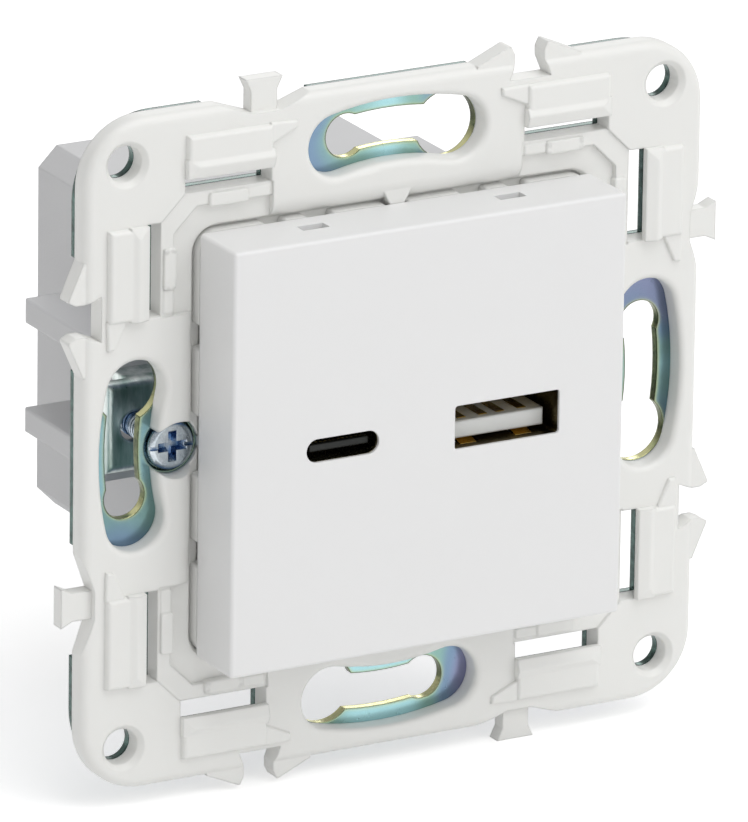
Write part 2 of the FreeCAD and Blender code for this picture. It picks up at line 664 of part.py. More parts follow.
def lobed_plate(y0, y1):
    """The carrier's square plate, its edge cut into lobes beside the hooks, tabs and claw screws."""
    plate = square(CARRIER_HALF, y0, y1, CARRIER_CORNER)
    tab = edge_notch(-RETAINER_NOTCH_WIDTH / 2, RETAINER_NOTCH_WIDTH / 2, y0, y1)
    screw = edge_notch(-SCREW_NOTCH_WIDTH / 2, SCREW_NOTCH_WIDTH / 2, y0, y1)
    notches = [tab, turned(tab, 2), turned(screw, 1), turned(screw, 3)]
    for start, end in HOOK_NOTCHES:
        notch = edge_notch(start, end, y0, y1)
        notches += [notch, mirrored_x(notch), turned(notch, 2), turned(mirrored_x(notch), 2)]
    side = edge_notch(SIDE_NOTCH[0], SIDE_NOTCH[1], y0, y1)
    notches += [turned(side, 1), turned(side, 3), turned(mirrored_x(side), 1), turned(mirrored_x(side), 3)]
    plate = plate.cut(notches)
    limit = CARRIER_HALF - CARRIER_CORNER - 0.1
    corners = [edge for edge in edges_along_y(plate)
               if min(abs(edge.BoundBox.Center.x), abs(edge.BoundBox.Center.z)) < limit]
    return plate.makeFillet(NOTCH_CORNER, corners)


def port_tunnels(y0, y1, extra):
    """Clearance blocks round both connectors."""
    a_wide = USB_A_CAVITY[0] / 2 + USB_A_SHEET + extra
    a_tall = USB_A_CAVITY[1] / 2 + USB_A_SHEET + extra
    c_wide = USB_C_CAVITY[0] / 2 + USB_C_SHEET + extra
    c_tall = USB_C_CAVITY[1] / 2 + USB_C_SHEET + extra
    return [box(USB_A_X - a_wide, USB_A_X + a_wide, y0, y1, PORT_HEIGHT - a_tall, PORT_HEIGHT + a_tall),
            box(USB_C_X - c_wide, USB_C_X + c_wide, y0, y1, PORT_HEIGHT - c_tall, PORT_HEIGHT + c_tall)]


def screw_places():
    """The places of the four housing screws."""
    return [(x, z) for x in (-HOUSING_SCREW_OFFSET, HOUSING_SCREW_OFFSET)
            for z in (-HOUSING_SCREW_OFFSET, HOUSING_SCREW_OFFSET)]


def housing_front():
    """The carrier: a lobed plate under the cover, with port tunnels, hook posts and a skirt."""
    pieces = [lobed_plate(CARRIER_FRONT, CARRIER_STEP)]
    pieces.append(square(CARRIER_INNER_HALF, CARRIER_STEP, CARRIER_BACK, CARRIER_CORNER))
    pieces += port_tunnels(COVER_INSIDE + 0.6, CARRIER_BACK, FIT_GAP + PORT_RIM)
    post_top = COVER_HALF - COVER_WALL - FIT_GAP
    for x in (-HOOK_OFFSET, HOOK_OFFSET):
        post = box(x - HOOK_WIDTH / 2 + FIT_GAP, x + HOOK_WIDTH / 2 - FIT_GAP,
                   COVER_FRONT + HOOK_FROM_FRONT, CARRIER_BACK, post_top - HOOK_POST_THICKNESS, post_top)
        pieces += [post, turned(post, 2)]
    pieces.append(square(SKIRT_HALF, CARRIER_BACK - 0.2, SKIRT_LENGTH, CARRIER_CORNER))
    body = joined(pieces)
    body = body.cut(square(SKIRT_HALF - SKIRT_WALL, CARRIER_BACK + 0.6, SKIRT_LENGTH + 1, CARRIER_CORNER / 2))
    bosses = [rod(x, z, BOSS_RADIUS, CARRIER_BACK, SKIRT_LENGTH) for x, z in screw_places()]
    body = body.fuse(bosses).removeSplitter()
    cuts = port_tunnels(COVER_INSIDE - 1, SKIRT_LENGTH + 1, FIT_GAP)
    cuts += [rod(x, z, HOUSING_SCREW_HOLE / 2, CARRIER_FRONT - 1, SKIRT_LENGTH + 1)
             for x, z in screw_places()]
    return body.cut(cuts)


def guide_rib(end):
    """The upper rib beside the left claw, standing out from the housing's side."""
    rib = box(-RIB_REACH, -HOUSING_HALF + 1, RIB_START, end, RIB_INNER, RIB_INNER + RIB_THICKNESS)
    tip = [edge for edge in rib.Edges if edge.BoundBox.XMax < -RIB_REACH + 0.01]
    return rib.makeFillet(RIB_EDGE_ROUND, tip)


def terminal_chamber(x):
    """The walls round one terminal, open to the board in front and to its screw above."""
    half = TERMINAL_WIDTH / 2 + FIT_GAP
    wall = 0.8
    bottom = BAR_TOP - BAR_THICKNESS - CAGE_OPENING - CAGE_WALL - FIT_GAP
    outer = box(x - half - wall, x + half + wall, POWER_BOARD_BACK + 0.6, REAR_INSIDE + 0.5,
                bottom - wall, INNER_HALF + 0.5)
    inner = box(x - half, x + half, POWER_BOARD_BACK, TERMINAL_Y + TERMINAL_DEPTH / 2 + FIT_GAP,
                bottom, INNER_HALF + 1)
    return outer, inner


def housing_box():
    """The rear housing's hollow box: full width in front, stepped in on the right behind."""
    body = chamfered_block(-HOUSING_HALF, HOUSING_HALF, HOUSING_HALF, 0.0, HOUSING_STEP, HOUSING_CHAMFER)
    body = body.fuse(chamfered_block(-HOUSING_HALF, HOUSING_RIGHT, HOUSING_HALF, HOUSING_STEP - 1,
                                     HOUSING_DEPTH, HOUSING_CHAMFER)).removeSplitter()
    ledge = INNER_HALF - LEDGE_WIDTH
    body = body.cut(square(INNER_HALF, -1, POWER_BOARD_BACK, 1.0))
    return body.cut(rounded_box(-ledge, HOUSING_RIGHT - HOUSING_WALL, 0, REAR_INSIDE, -ledge, ledge, 1.0))


def corner_boss(x, z):
    """A screw boss with the block that joins it to its corner."""
    wall = INNER_HALF + 0.5
    side_x, side_z = math.copysign(wall, x), math.copysign(wall, z)
    block = box(min(x, side_x), max(x, side_x), OUTPUT_BOARD_BACK, BOSS_BACK, min(z, side_z), max(z, side_z))
    return rod(x, z, BOSS_RADIUS, OUTPUT_BOARD_BACK, BOSS_BACK).fuse(block)


def housing_rear():
    """The rear housing: a chamfered box with claw guides, terminal chambers and screw bosses."""
    body = housing_box()
    left, right = guide_rib(RIB_END), mirrored_x(guide_rib(HOUSING_STEP))
    body = body.fuse([left, mirrored_z(left), right, mirrored_z(right)])
    body = body.fuse([corner_boss(x, z) for x, z in screw_places()])
    cuts = [rod(x, z, HOUSING_SCREW_DIAMETER / 2, OUTPUT_BOARD_BACK - 1, HOUSING_SCREW_TIP + 0.5)
            for x, z in screw_places()]
    wire_z = BAR_TOP - BAR_THICKNESS - CAGE_OPENING / 2
    for x in (-TERMINAL_X, TERMINAL_X):
        outer, inner = terminal_chamber(x)
        body = body.fuse(outer)
        cuts.append(inner)
        cuts.append(rod(x, wire_z, WIRE_HOLE_DIAMETER / 2, TERMINAL_Y, HOUSING_DEPTH + 1))
        cuts.append(Part.makeCone(WIRE_HOLE_DIAMETER / 2, WIRE_HOLE_DIAMETER / 2 + WIRE_FUNNEL, WIRE_FUNNEL,
                                  Vector(x, HOUSING_DEPTH - WIRE_FUNNEL, wire_z), AXIS_Y))
        cuts.append(Part.makeCylinder(TERMINAL_SCREW_HOLE / 2, HOUSING_WALL + 2,
                                      Vector(x, TERMINAL_Y, INNER_HALF - 1), AXIS_Z))
    return body.cut(cuts).removeSplitter()


def claw_left():
    """The left claw: a bent steel channel with a slot for its screw and a short toothed leg."""
    back, end = CLAW_FRONT + CLAW_SHEET, CLAW_FRONT + CLAW_LEG_LENGTH
    height, inner = CLAW_HALF_HEIGHT, -CLAW_PIVOT_X + 0.4
    web = box(-CLAW_REACH, inner, CLAW_FRONT, back, -height, height)
    leg = box(-CLAW_REACH, -CLAW_REACH + CLAW_SHEET, CLAW_FRONT, end, -height, height)
    arm = box(-CLAW_ARM_END, inner, CLAW_FRONT, back + CLAW_ARM_LENGTH, height - CLAW_SHEET, height)
    body = joined([web, leg, arm, mirrored_z(arm)])
    bends = edges_in_plane(body, CLAW_FRONT, lambda edge: edge.BoundBox.XMin < inner - 0.1)
    body = body.makeFillet(CLAW_BEND_RADIUS, bends)
    slot = stadium(-CLAW_SCREW_X - CLAW_SLOT_SHIFT, 0, CLAW_SLOT_LENGTH,
                   CLAW_SCREW_DIAMETER + 2 * CLAW_SLOT_GAP, CLAW_FRONT - 1, back + 1)
    return body.cut([slot] + tooth_gaps(-CLAW_REACH - 1, end, height))


def tooth_gaps(x, end, height):
    """The V-shaped gaps between the teeth on the leg's rear edge."""
    pitch = 2 * height / CLAW_TEETH
    gaps = []
    for index in range(CLAW_TEETH + 1):
        z = -height + index * pitch
        corners = [Vector(x, end + 0.01, z - pitch / 2), Vector(x, end - CLAW_TOOTH_DEPTH, z),
                   Vector(x, end + 0.01, z + pitch / 2)]
        gap = Part.Face(Part.makePolygon(corners + corners[:1]))
        gaps.append(gap.extrude(Vector(CLAW_SHEET + 2, 0, 0)))
    return gaps


def screw_along_y(x, z, diameter, under_head, tip, head_diameter, head_height, recess):
    """A pan-head screw pointing to the back, with its drive recess cut out of the head."""
    shank = rod(x, z, diameter / 2, under_head - 0.1, tip)
    head = rod(x, z, head_diameter / 2, under_head - head_height, under_head)
    head = head.makeFillet(head_height * 0.45, edges_in_plane(head, under_head - head_height))
    return joined([head, shank]).cut(recess)


def cross_recess(x, z, y, width, reach, depth):
    """A cross-shaped drive recess that narrows with depth, in a head that faces the front."""
    blades = []
    for half_x, half_z in ((width / 2, reach), (reach, width / 2)):
        low_x, low_z = half_x * RECESS_TAPER, half_z * RECESS_TAPER
        blades.append(Part.makeWedge(x - half_x, y - 0.1, z - half_z, z - low_z, x - low_x,
                                     x + half_x, y + depth, z + half_z, z + low_z, x + low_x))
    return blades


def claw_screw(x):
    """The claw's screw: a flat pan head with a cross recess and a fine slot."""
    top = CLAW_HEAD_SEAT - CLAW_HEAD_HEIGHT
    recess = cross_recess(x, 0, top, CLAW_RECESS_WIDTH, CLAW_RECESS_REACH, CLAW_RECESS_DEPTH)
    recess.append(box(x - CLAW_HEAD_DIAMETER, x + CLAW_HEAD_DIAMETER, top - 1, top + 0.3, -0.2, 0.2))
    return screw_along_y(x, 0, CLAW_SCREW_CORE, CLAW_HEAD_SEAT, CLAW_SCREW_TIP,
                         CLAW_HEAD_DIAMETER, CLAW_HEAD_HEIGHT, recess)


def housing_screws():
    """The four screws under the cover that clamp the plate between the two housings."""
    screws = []
    for x, z in screw_places():
        recess = cross_recess(x, z, CARRIER_FRONT - HOUSING_SCREW_HEAD_HEIGHT, 0.6, 1.1, 0.8)
        screws.append(screw_along_y(x, z, HOUSING_SCREW_DIAMETER, CARRIER_FRONT, HOUSING_SCREW_TIP,
                                    HOUSING_SCREW_HEAD, HOUSING_SCREW_HEAD_HEIGHT, recess))
    return Part.makeCompound(screws)


def board(half, front, holes):
    """A square circuit board with rounded corners."""
    return square(half, front, front + BOARD_THICKNESS, 1.0).cut(holes)


def output_board():
    """The board that carries both ports, clamped between the carrier and the rear housing."""
    holes = [rod(x, z, HOUSING_SCREW_HOLE / 2, OUTPUT_BOARD_FRONT - 1, OUTPUT_BOARD_BACK + 1)
             for x, z in screw_places()]
    return board(INNER_HALF - BOARD_GAP, OUTPUT_BOARD_FRONT, holes)


def power_board():
    """The mains board, seated on the ledge inside the rear housing."""
    vent = rod(0, 0, 1.0, POWER_BOARD_FRONT - 1, POWER_BOARD_BACK + 1)
    return board(INNER_HALF - BOARD_GAP, POWER_BOARD_FRONT, [vent])


def usb_a_finger(offset, side):
    """One spring finger of the wide port, above (1) or below (-1), and the gap it springs in."""
    face = PORT_HEIGHT + side * USB_A_CAVITY[1] / 2
    sheet, dip = USB_A_SHEET * side, USB_A_FINGER_DIP * side
    left = USB_A_X + offset - USB_A_FINGER_WIDTH / 2
    tip = SHELL_FRONT + USB_A_FINGER_FRONT
    bend = tip + USB_A_FINGER_TIP
    root = SHELL_FRONT + USB_A_FINGER_ROOT
    gap = box(left - USB_A_FINGER_GAP, left + USB_A_FINGER_WIDTH + USB_A_FINGER_GAP,
              tip - 0.4, root, min(face - 0.1 * side, face + side), max(face - 0.1 * side, face + side))
    profile = [Vector(left, root + 0.3, face), Vector(left, root + 0.3, face + sheet),
               Vector(left, bend, face + sheet - dip), Vector(left, tip, face + sheet),
               Vector(left, tip, face + side * 0.1), Vector(left, bend, face - dip)]
    strip = Part.Face(Part.makePolygon(profile + profile[:1]))
    return strip.extrude(Vector(USB_A_FINGER_WIDTH, 0, 0)), gap


def usb_a_shell():
    """The folded sheet shell of the wide port, with two spring fingers above and below."""
    width, height = USB_A_CAVITY
    back = OUTPUT_BOARD_FRONT
    outer = stadium(USB_A_X, PORT_HEIGHT, width + 2 * USB_A_SHEET, height + 2 * USB_A_SHEET,
                    SHELL_FRONT, back, USB_A_CORNER + USB_A_SHEET)
    inner = stadium(USB_A_X, PORT_HEIGHT, width, height, SHELL_FRONT - 1, back - USB_A_SHEET, USB_A_CORNER)
    shell = outer.cut(inner)
    fingers = []
    for side in (-1, 1):
        for offset in (-USB_A_FINGER_OFFSET, USB_A_FINGER_OFFSET):
            finger, gap = usb_a_finger(offset, side)
            shell = shell.cut(gap)
            fingers.append(finger)
    return joined([shell] + fingers)


def usb_a_tongue():
    """The moulded core of the wide port: a base block with the contact tongue."""
    width, height = USB_A_CAVITY
    back = OUTPUT_BOARD_FRONT - USB_A_SHEET
    base_front = back - PORT_BASE_LENGTH
    base = stadium(USB_A_X, PORT_HEIGHT, width, height, base_front, back, USB_A_CORNER)
    middle = PORT_HEIGHT - USB_A_TONGUE_DROP
    front = COVER_FRONT + USB_A_TONGUE_RECESS
    half_w, half_t = USB_A_TONGUE_WIDTH / 2, USB_A_TONGUE_THICKNESS / 2
    tongue = box(USB_A_X - half_w, USB_A_X + half_w, front, base_front + 0.5, middle - half_t, middle + half_t)
    tongue = tongue.makeFillet(USB_A_TONGUE_ROUND, edges_in_plane(tongue, front))
    grooves = [usb_a_strip(x, front + USB_A_CONTACT_RECESS, OUTPUT_BOARD_FRONT) for x in USB_A_CONTACT_OFFSETS]
    return joined([base, tongue]).cut(grooves)


def usb_a_strip(offset, front, back):
    """One contact strip, sunk into the top of the wide port's tongue and a little proud."""
    top = PORT_HEIGHT - USB_A_TONGUE_DROP + USB_A_TONGUE_THICKNESS / 2
    left = USB_A_X + offset - USB_A_CONTACT_WIDTH / 2
    return box(left, left + USB_A_CONTACT_WIDTH, front, back,
               top - USB_A_CONTACT_THICKNESS, top + USB_A_CONTACT_PROUD)


def usb_a_contacts():
    """Four gilded strips that lie in the tongue's grooves."""
    front = COVER_FRONT + USB_A_TONGUE_RECESS + USB_A_CONTACT_RECESS
    back = OUTPUT_BOARD_FRONT - USB_A_SHEET
    return Part.makeCompound([usb_a_strip(x, front, back) for x in USB_A_CONTACT_OFFSETS])


def usb_c_shell():
    """The seamless oval shell of the small port."""
    width, height = USB_C_CAVITY
    outer = stadium(USB_C_X, PORT_HEIGHT, width + 2 * USB_C_SHEET, height + 2 * USB_C_SHEET,
                    SHELL_FRONT, OUTPUT_BOARD_FRONT)
    inner = stadium(USB_C_X, PORT_HEIGHT, width, height, SHELL_FRONT - 1, OUTPUT_BOARD_FRONT - USB_C_SHEET)
    return outer.cut(inner)


def usb_c_tongue():
    """The moulded core of the small port: an oval base with a thin contact tongue."""
    width, height = USB_C_CAVITY
    back = OUTPUT_BOARD_FRONT - USB_C_SHEET
    base_front = SHELL_FRONT + 4.6
    base = stadium(USB_C_X, PORT_HEIGHT, width, height, base_front, back)
    front = COVER_FRONT + USB_C_TONGUE_RECESS
    tongue = box(USB_C_X - USB_C_TONGUE_WIDTH / 2, USB_C_X + USB_C_TONGUE_WIDTH / 2, front, base_front + 0.5,
                 PORT_HEIGHT - USB_C_TONGUE_THICKNESS / 2, PORT_HEIGHT + USB_C_TONGUE_THICKNESS / 2)
    return joined([base, tongue])


def usb_c_contacts():
    """Two rows of contact strips on the small port's tongue."""
    front = COVER_FRONT + USB_C_TONGUE_RECESS + 0.6
    back = SHELL_FRONT + 4.6
    strips = []
    for index in range(USB_C_CONTACTS_A_SIDE):
        x = USB_C_X + (index - (USB_C_CONTACTS_A_SIDE - 1) / 2) * USB_C_CONTACT_PITCH
        for side in (-1, 1):
            face = PORT_HEIGHT + side * USB_C_TONGUE_THICKNESS / 2
            other = face + side * USB_C_CONTACT_THICKNESS
            strips.append(box(x - USB_C_CONTACT_WIDTH / 2, x + USB_C_CONTACT_WIDTH / 2, front, back,
                              min(face, other), max(face, other)))
    return Part.makeCompound(strips)


def transformer():
    """The transformer's ferrite core, coil former and winding, standing on the mains board."""
    back = POWER_BOARD_FRONT - FORMER_FOOT
    front = OUTPUT_BOARD_BACK + CORE_END_GAP
    half_w, half_h = CORE_WIDTH / 2, CORE_HEIGHT / 2
    leg = CORE_LEG
    block = box(-half_w, half_w, front, back, CORE_Z - half_h * 0.5, CORE_Z + half_h * 0.5)
    hollow = box(-half_w + leg * 0.7, half_w - leg * 0.7, front + leg * 0.7, back - leg * 0.7,
                 CORE_Z - half_h, CORE_Z + half_h)
    middle_leg = Part.makeCylinder(leg, back - front, Vector(0, front, CORE_Z), AXIS_Y)
    limit = box(-half_w, half_w, front, back, CORE_Z - half_h * 0.5, CORE_Z + half_h * 0.5)
    core = joined([block.cut(hollow), middle_leg.common(limit)])
    coil_front, coil_back = front + leg * 0.7, back - leg * 0.7
    tube = Part.makeCylinder(leg + 0.8, coil_back - coil_front, Vector(0, coil_front, CORE_Z), AXIS_Y)
    flange_r = half_w - leg * 0.7 - 0.15
    flanges = [Part.makeCylinder(flange_r, 0.8, Vector(0, y, CORE_Z), AXIS_Y)
               for y in (coil_front, coil_back - 0.8)]
    foot = box(-half_w, half_w, back, POWER_BOARD_FRONT, CORE_Z - half_h, CORE_Z + half_h)
    post = box(-2, 2, coil_back - 0.5, POWER_BOARD_FRONT - 0.5,
               CORE_Z + half_h * 0.5, CORE_Z + half_h * 0.5 + 1.6)
    former = joined([tube] + flanges + [foot, post, post.mirror(Vector(0, 0, CORE_Z), AXIS_Z)])
    former = former.cut(Part.makeCylinder(leg, back - front, Vector(0, front, CORE_Z), AXIS_Y)).cut(core)
    winding = Part.makeCylinder(flange_r - 0.4, coil_back - coil_front - 1.6,
                                Vector(0, coil_front + 0.8, CORE_Z), AXIS_Y)
    winding = winding.cut(Part.makeCylinder(leg + 0.8, back - front, Vector(0, front, CORE_Z), AXIS_Y))
    return core, former, winding


def can_capacitor(x, z, diameter, end_gap):
    """An aluminium can capacitor that stands on the mains board, with its crimp ring."""
    front, back = OUTPUT_BOARD_BACK + end_gap, POWER_BOARD_FRONT
    can = rod(x, z, diameter / 2, front, back)
    ring = Part.makeTorus(diameter / 2 + 0.15, 0.45, Vector(x, back - 1.6, z), AXIS_Y)
    can = can.makeFillet(0.5, edges_in_plane(can, front))
    return can.cut(ring)


def terminal_cage(x):
    """The lifting cage of one terminal: a square brass loop, open along the wire."""
    top = CAGE_TOP
    bottom = BAR_TOP - BAR_THICKNESS - CAGE_OPENING - CAGE_WALL
    half_w, half_d = TERMINAL_WIDTH / 2, TERMINAL_DEPTH / 2
    front, back = TERMINAL_Y - half_d, TERMINAL_Y + half_d
    loop = box(x - half_w, x + half_w, front, back, bottom, top)
    hole = box(x - half_w + CAGE_WALL, x + half_w - CAGE_WALL, front - 1, back + 1,
               bottom + CAGE_WALL, top - CAGE_WALL)
    thread = Part.makeCylinder(TERMINAL_SCREW_DIAMETER / 2 + THREAD_GAP, 2 * CAGE_WALL + 1,
                               Vector(x, TERMINAL_Y, top - CAGE_WALL - 0.5), AXIS_Z)
    loop = loop.makeFillet(0.6, [edge for edge in loop.Edges if edge.BoundBox.YLength > TERMINAL_DEPTH - 0.1])
    return loop.cut([hole, thread])


def terminal_screw(x):
    """The slotted screw of one terminal, pointing down on its contact bar."""
    shank = Part.makeCylinder(TERMINAL_SCREW_DIAMETER / 2, TERMINAL_HEAD_BOTTOM - BAR_TOP - THREAD_GAP + 0.1,
                              Vector(x, TERMINAL_Y, BAR_TOP + THREAD_GAP), AXIS_Z)
    head = Part.makeCylinder(TERMINAL_SCREW_HEAD / 2, TERMINAL_HEAD_TOP - TERMINAL_HEAD_BOTTOM,
                             Vector(x, TERMINAL_Y, TERMINAL_HEAD_BOTTOM), AXIS_Z)
    slot = box(x - TERMINAL_SCREW_HEAD, x + TERMINAL_SCREW_HEAD, TERMINAL_Y - 0.4, TERMINAL_Y + 0.4,
               TERMINAL_HEAD_TOP - 0.8, TERMINAL_HEAD_TOP + 1)
    return joined([shank, head]).cut(slot)


def terminal_bar(x):
    """The fixed contact bar of one terminal, soldered to the mains board."""
    half_d = TERMINAL_DEPTH / 2
    return box(x - BAR_WIDTH / 2, x + BAR_WIDTH / 2, POWER_BOARD_BACK, TERMINAL_Y + half_d,
               BAR_TOP - BAR_THICKNESS, BAR_TOP)


def board_link():
    """The row of pins that joins the two boards, in its moulded strip."""
    x = INNER_HALF - LINK_INSET
    length = LINK_PINS * LINK_PITCH
    strip = box(x - LINK_BODY / 2, x + LINK_BODY / 2, POWER_BOARD_FRONT - LINK_BODY, POWER_BOARD_FRONT,
                LINK_Z - length / 2, LINK_Z + length / 2)
    pins = []
    for index in range(LINK_PINS):
        z = LINK_Z + (index - (LINK_PINS - 1) / 2) * LINK_PITCH
        pins.append(box(x - LINK_PIN / 2, x + LINK_PIN / 2,
                        OUTPUT_BOARD_BACK, POWER_BOARD_FRONT - LINK_BODY / 2,
                        z - LINK_PIN / 2, z + LINK_PIN / 2))
    return joined([strip] + pins)


def fuse_resistor():
    """The wound fuse resistor that lies on the mains board, with its leads."""
    x = -INNER_HALF + FUSE_INSET
    y = POWER_BOARD_FRONT - FUSE_DIAMETER / 2 - 0.2
    body = Part.makeCylinder(FUSE_DIAMETER / 2, FUSE_LENGTH, Vector(x, y, -FUSE_LENGTH / 2), AXIS_Z)
    body = body.makeFillet(0.6, [edge for edge in body.Edges if edge.BoundBox.ZLength < 1e-3])
    leads = [box(x - 0.3, x + 0.3, y, POWER_BOARD_FRONT, z - 0.3, z + 0.3)
             for z in (-FUSE_LENGTH / 2 - 0.2, FUSE_LENGTH / 2 + 0.2)]
    return joined([body] + leads)


def film_capacitor():
    """The boxed interference capacitor on the mains board."""
    x, z = INNER_HALF - FILM_CAPACITOR_INSET, FILM_CAPACITOR_Z
    half_w, half_h = FILM_CAPACITOR_WIDTH / 2, FILM_CAPACITOR_HEIGHT / 2
    return rounded_box(x - half_w, x + half_w, OUTPUT_BOARD_BACK + FILM_CAPACITOR_END_GAP, POWER_BOARD_FRONT,
                       z - half_h, z + half_h, 0.5)


def chip(front, z, size):
    """A moulded chip that stands on the back of a board."""
    width, depth, height = size
    return box(-width / 2, width / 2, front, front + depth, z - height / 2, z + height / 2)


def model():
    """Every piece by its name."""
    core, former, winding = transformer()
    left_claw = claw_left()
    pieces = {
        "cover": cover(),
        "support_frame": support_frame(),
        "mounting_plate": mounting_plate(),
        "housing_front": housing_front(),
        "housing_rear": housing_rear(),
        "housing_screws": housing_screws(),
        "claw_left": left_claw,
        "claw_right": mirrored_x(left_claw),
        "claw_screw_left": claw_screw(-CLAW_SCREW_X),
        "claw_screw_right": claw_screw(CLAW_SCREW_X),
        "output_board": output_board(),
        "power_board": power_board(),
        "usb_a_shell": usb_a_shell(),
        "usb_a_tongue": usb_a_tongue(),
        "usb_a_contacts": usb_a_contacts(),
        "usb_c_shell": usb_c_shell(),
        "usb_c_tongue": usb_c_tongue(),
        "usb_c_contacts": usb_c_contacts(),
        "transformer_core": core,
        "transformer_former": former,
        "transformer_winding": winding,
        "input_capacitors": Part.makeCompound([
            can_capacitor(x, CAPACITOR_Z, INPUT_CAPACITOR_DIAMETER, INPUT_CAPACITOR_END_GAP)
            for x in (-INPUT_CAPACITOR_PITCH, 0.0)]),
        "output_capacitor": can_capacitor(OUTPUT_CAPACITOR_X, CAPACITOR_Z,
                                          OUTPUT_CAPACITOR_DIAMETER, OUTPUT_CAPACITOR_END_GAP),
        "interference_capacitor": film_capacitor(),
        "fuse_resistor": fuse_resistor(),
        "rectifier": chip(POWER_BOARD_BACK, RECTIFIER_Z, RECTIFIER_SIZE),
        "charge_controller": chip(OUTPUT_BOARD_BACK, 0.0, CONTROLLER_SIZE),
        "board_link": board_link(),
    }
    for side, x in (("live", -TERMINAL_X), ("neutral", TERMINAL_X)):
        pieces["terminal_cage_" + side] = terminal_cage(x)
        pieces["terminal_screw_" + side] = terminal_screw(x)
        pieces["terminal_bar_" + side] = terminal_bar(x)
    return pieces


os.makedirs("parts", exist_ok=True)
for name, shape in model().items():
    shape.exportStep(os.path.join("parts", name + ".step"))
    print(name, len(shape.Solids), "valid" if shape.isValid() else "NOT VALID", round(shape.Volume, 1))
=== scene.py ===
import math

import bpy
from bpy.props import FloatProperty, FloatVectorProperty, IntProperty, PointerProperty
from mathutils import Matrix, Vector


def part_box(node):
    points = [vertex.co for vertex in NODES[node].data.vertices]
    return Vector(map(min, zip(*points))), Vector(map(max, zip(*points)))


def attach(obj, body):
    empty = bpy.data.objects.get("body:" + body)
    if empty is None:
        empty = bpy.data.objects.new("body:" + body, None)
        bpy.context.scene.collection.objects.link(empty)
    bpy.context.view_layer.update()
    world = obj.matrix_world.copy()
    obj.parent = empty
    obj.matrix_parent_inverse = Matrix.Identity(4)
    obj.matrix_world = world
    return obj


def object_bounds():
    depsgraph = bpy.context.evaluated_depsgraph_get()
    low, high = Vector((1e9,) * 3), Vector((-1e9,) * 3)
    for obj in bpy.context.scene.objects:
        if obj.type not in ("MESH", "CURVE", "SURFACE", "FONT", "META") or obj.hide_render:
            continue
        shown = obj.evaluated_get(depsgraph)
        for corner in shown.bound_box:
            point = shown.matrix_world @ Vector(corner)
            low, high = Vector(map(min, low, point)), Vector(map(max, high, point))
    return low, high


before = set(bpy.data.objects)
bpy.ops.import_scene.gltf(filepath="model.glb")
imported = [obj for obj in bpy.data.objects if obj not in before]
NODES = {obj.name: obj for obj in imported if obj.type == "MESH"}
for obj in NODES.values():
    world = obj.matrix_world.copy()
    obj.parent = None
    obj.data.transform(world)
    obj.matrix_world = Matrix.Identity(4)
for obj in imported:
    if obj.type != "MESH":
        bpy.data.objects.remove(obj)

bl_info = {
    "name": "USB wall socket looks",
    "version": (1, 0, 0),
    "blender": (4, 5, 0),
    "location": "View3D > Sidebar > Wall socket",
    "description": "Dresses the packed wall socket with its finishes, screw threads and studio",
    "category": "Object",
}

CAD_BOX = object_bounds()
MM = 0.001
POLYCARBONATE = 1.58
THREAD_START = 0.8 * MM
THREAD_RUN_OUT = 0.6 * MM
MERGE_DISTANCE = 0.001 * MM
SMOOTH_ANGLE = math.radians(35)
BEVEL_SAMPLES = 8
WIRE_WIDTH = 0.316 * MM
FRAME_FRONT = 3.3 * MM
FLOOR_SIZE = 8.0
VIEW_DEPTH = 20.0
SENSOR = 36.0
PHOTO_HEIGHT = 822
# How far off centre the photograph is framed, in its pixels
OFFSET_UP = 4.1
OFFSET_LEFT = 21.0
# Name, which is also the setting of its power, side and place in metres
LAMPS = (
    ("key", 0.7, (0.6, -0.95, 0.6)),
    ("top", 0.8, (0.15, -0.4, 0.9)),
    ("rim", 0.3, (0.55, 0.99, 0.42)),
)
# A wave texture repeats 20 / (2 pi) times over one unit at scale 1
WIRE_BANDS = 2 * math.pi / 20 / WIRE_WIDTH

# Material, colour, grain and edge in mm, roughness, depth, refraction, nodes
BOARD_PARTS = (
    ("ferrite_sintered", "#3A3A3D", 0.3, 0.1, 0.45, 0.5, 2.0, ("transformer_core",)),
    ("black_bakelite_moulded", "#2A2826", 0.2, 0.1, 0.4, 0.3, 1.6, ("transformer_former",)),
    ("dark_sleeve_shrunk", "#2C3440", 0.2, 0.1, 0.35, 0.2, 1.5, ("input_capacitors", "output_capacitor")),
    ("yellow_polyester_box", "#D7AE3A", 0.2, 0.1, 0.4, 0.2, 1.5, ("interference_capacitor",)),
    ("green_cement_coat", "#6F9C74", 0.3, 0.1, 0.55, 0.4, 1.5, ("fuse_resistor",)),
    ("black_epoxy_moulded", "#232323", 0.1, 0.06, 0.5, 0.4, 1.5, ("rectifier", "charge_controller")),
)


def srgb(text):
    """A hex colour as linear RGBA."""
    channels = [int(text[i:i + 2], 16) / 255 for i in (1, 3, 5)]
    return (*[c / 12.92 if c <= 0.04045 else ((c + 0.055) / 1.055) ** 2.4 for c in channels], 1.0)


def colour(name, description, value):
    """A colour property with a linear default taken from a hex value."""
    return FloatVectorProperty(name=name, description=description, default=srgb(value)[:3],
                               subtype="COLOR", min=0.0, max=1.0)


# Settings

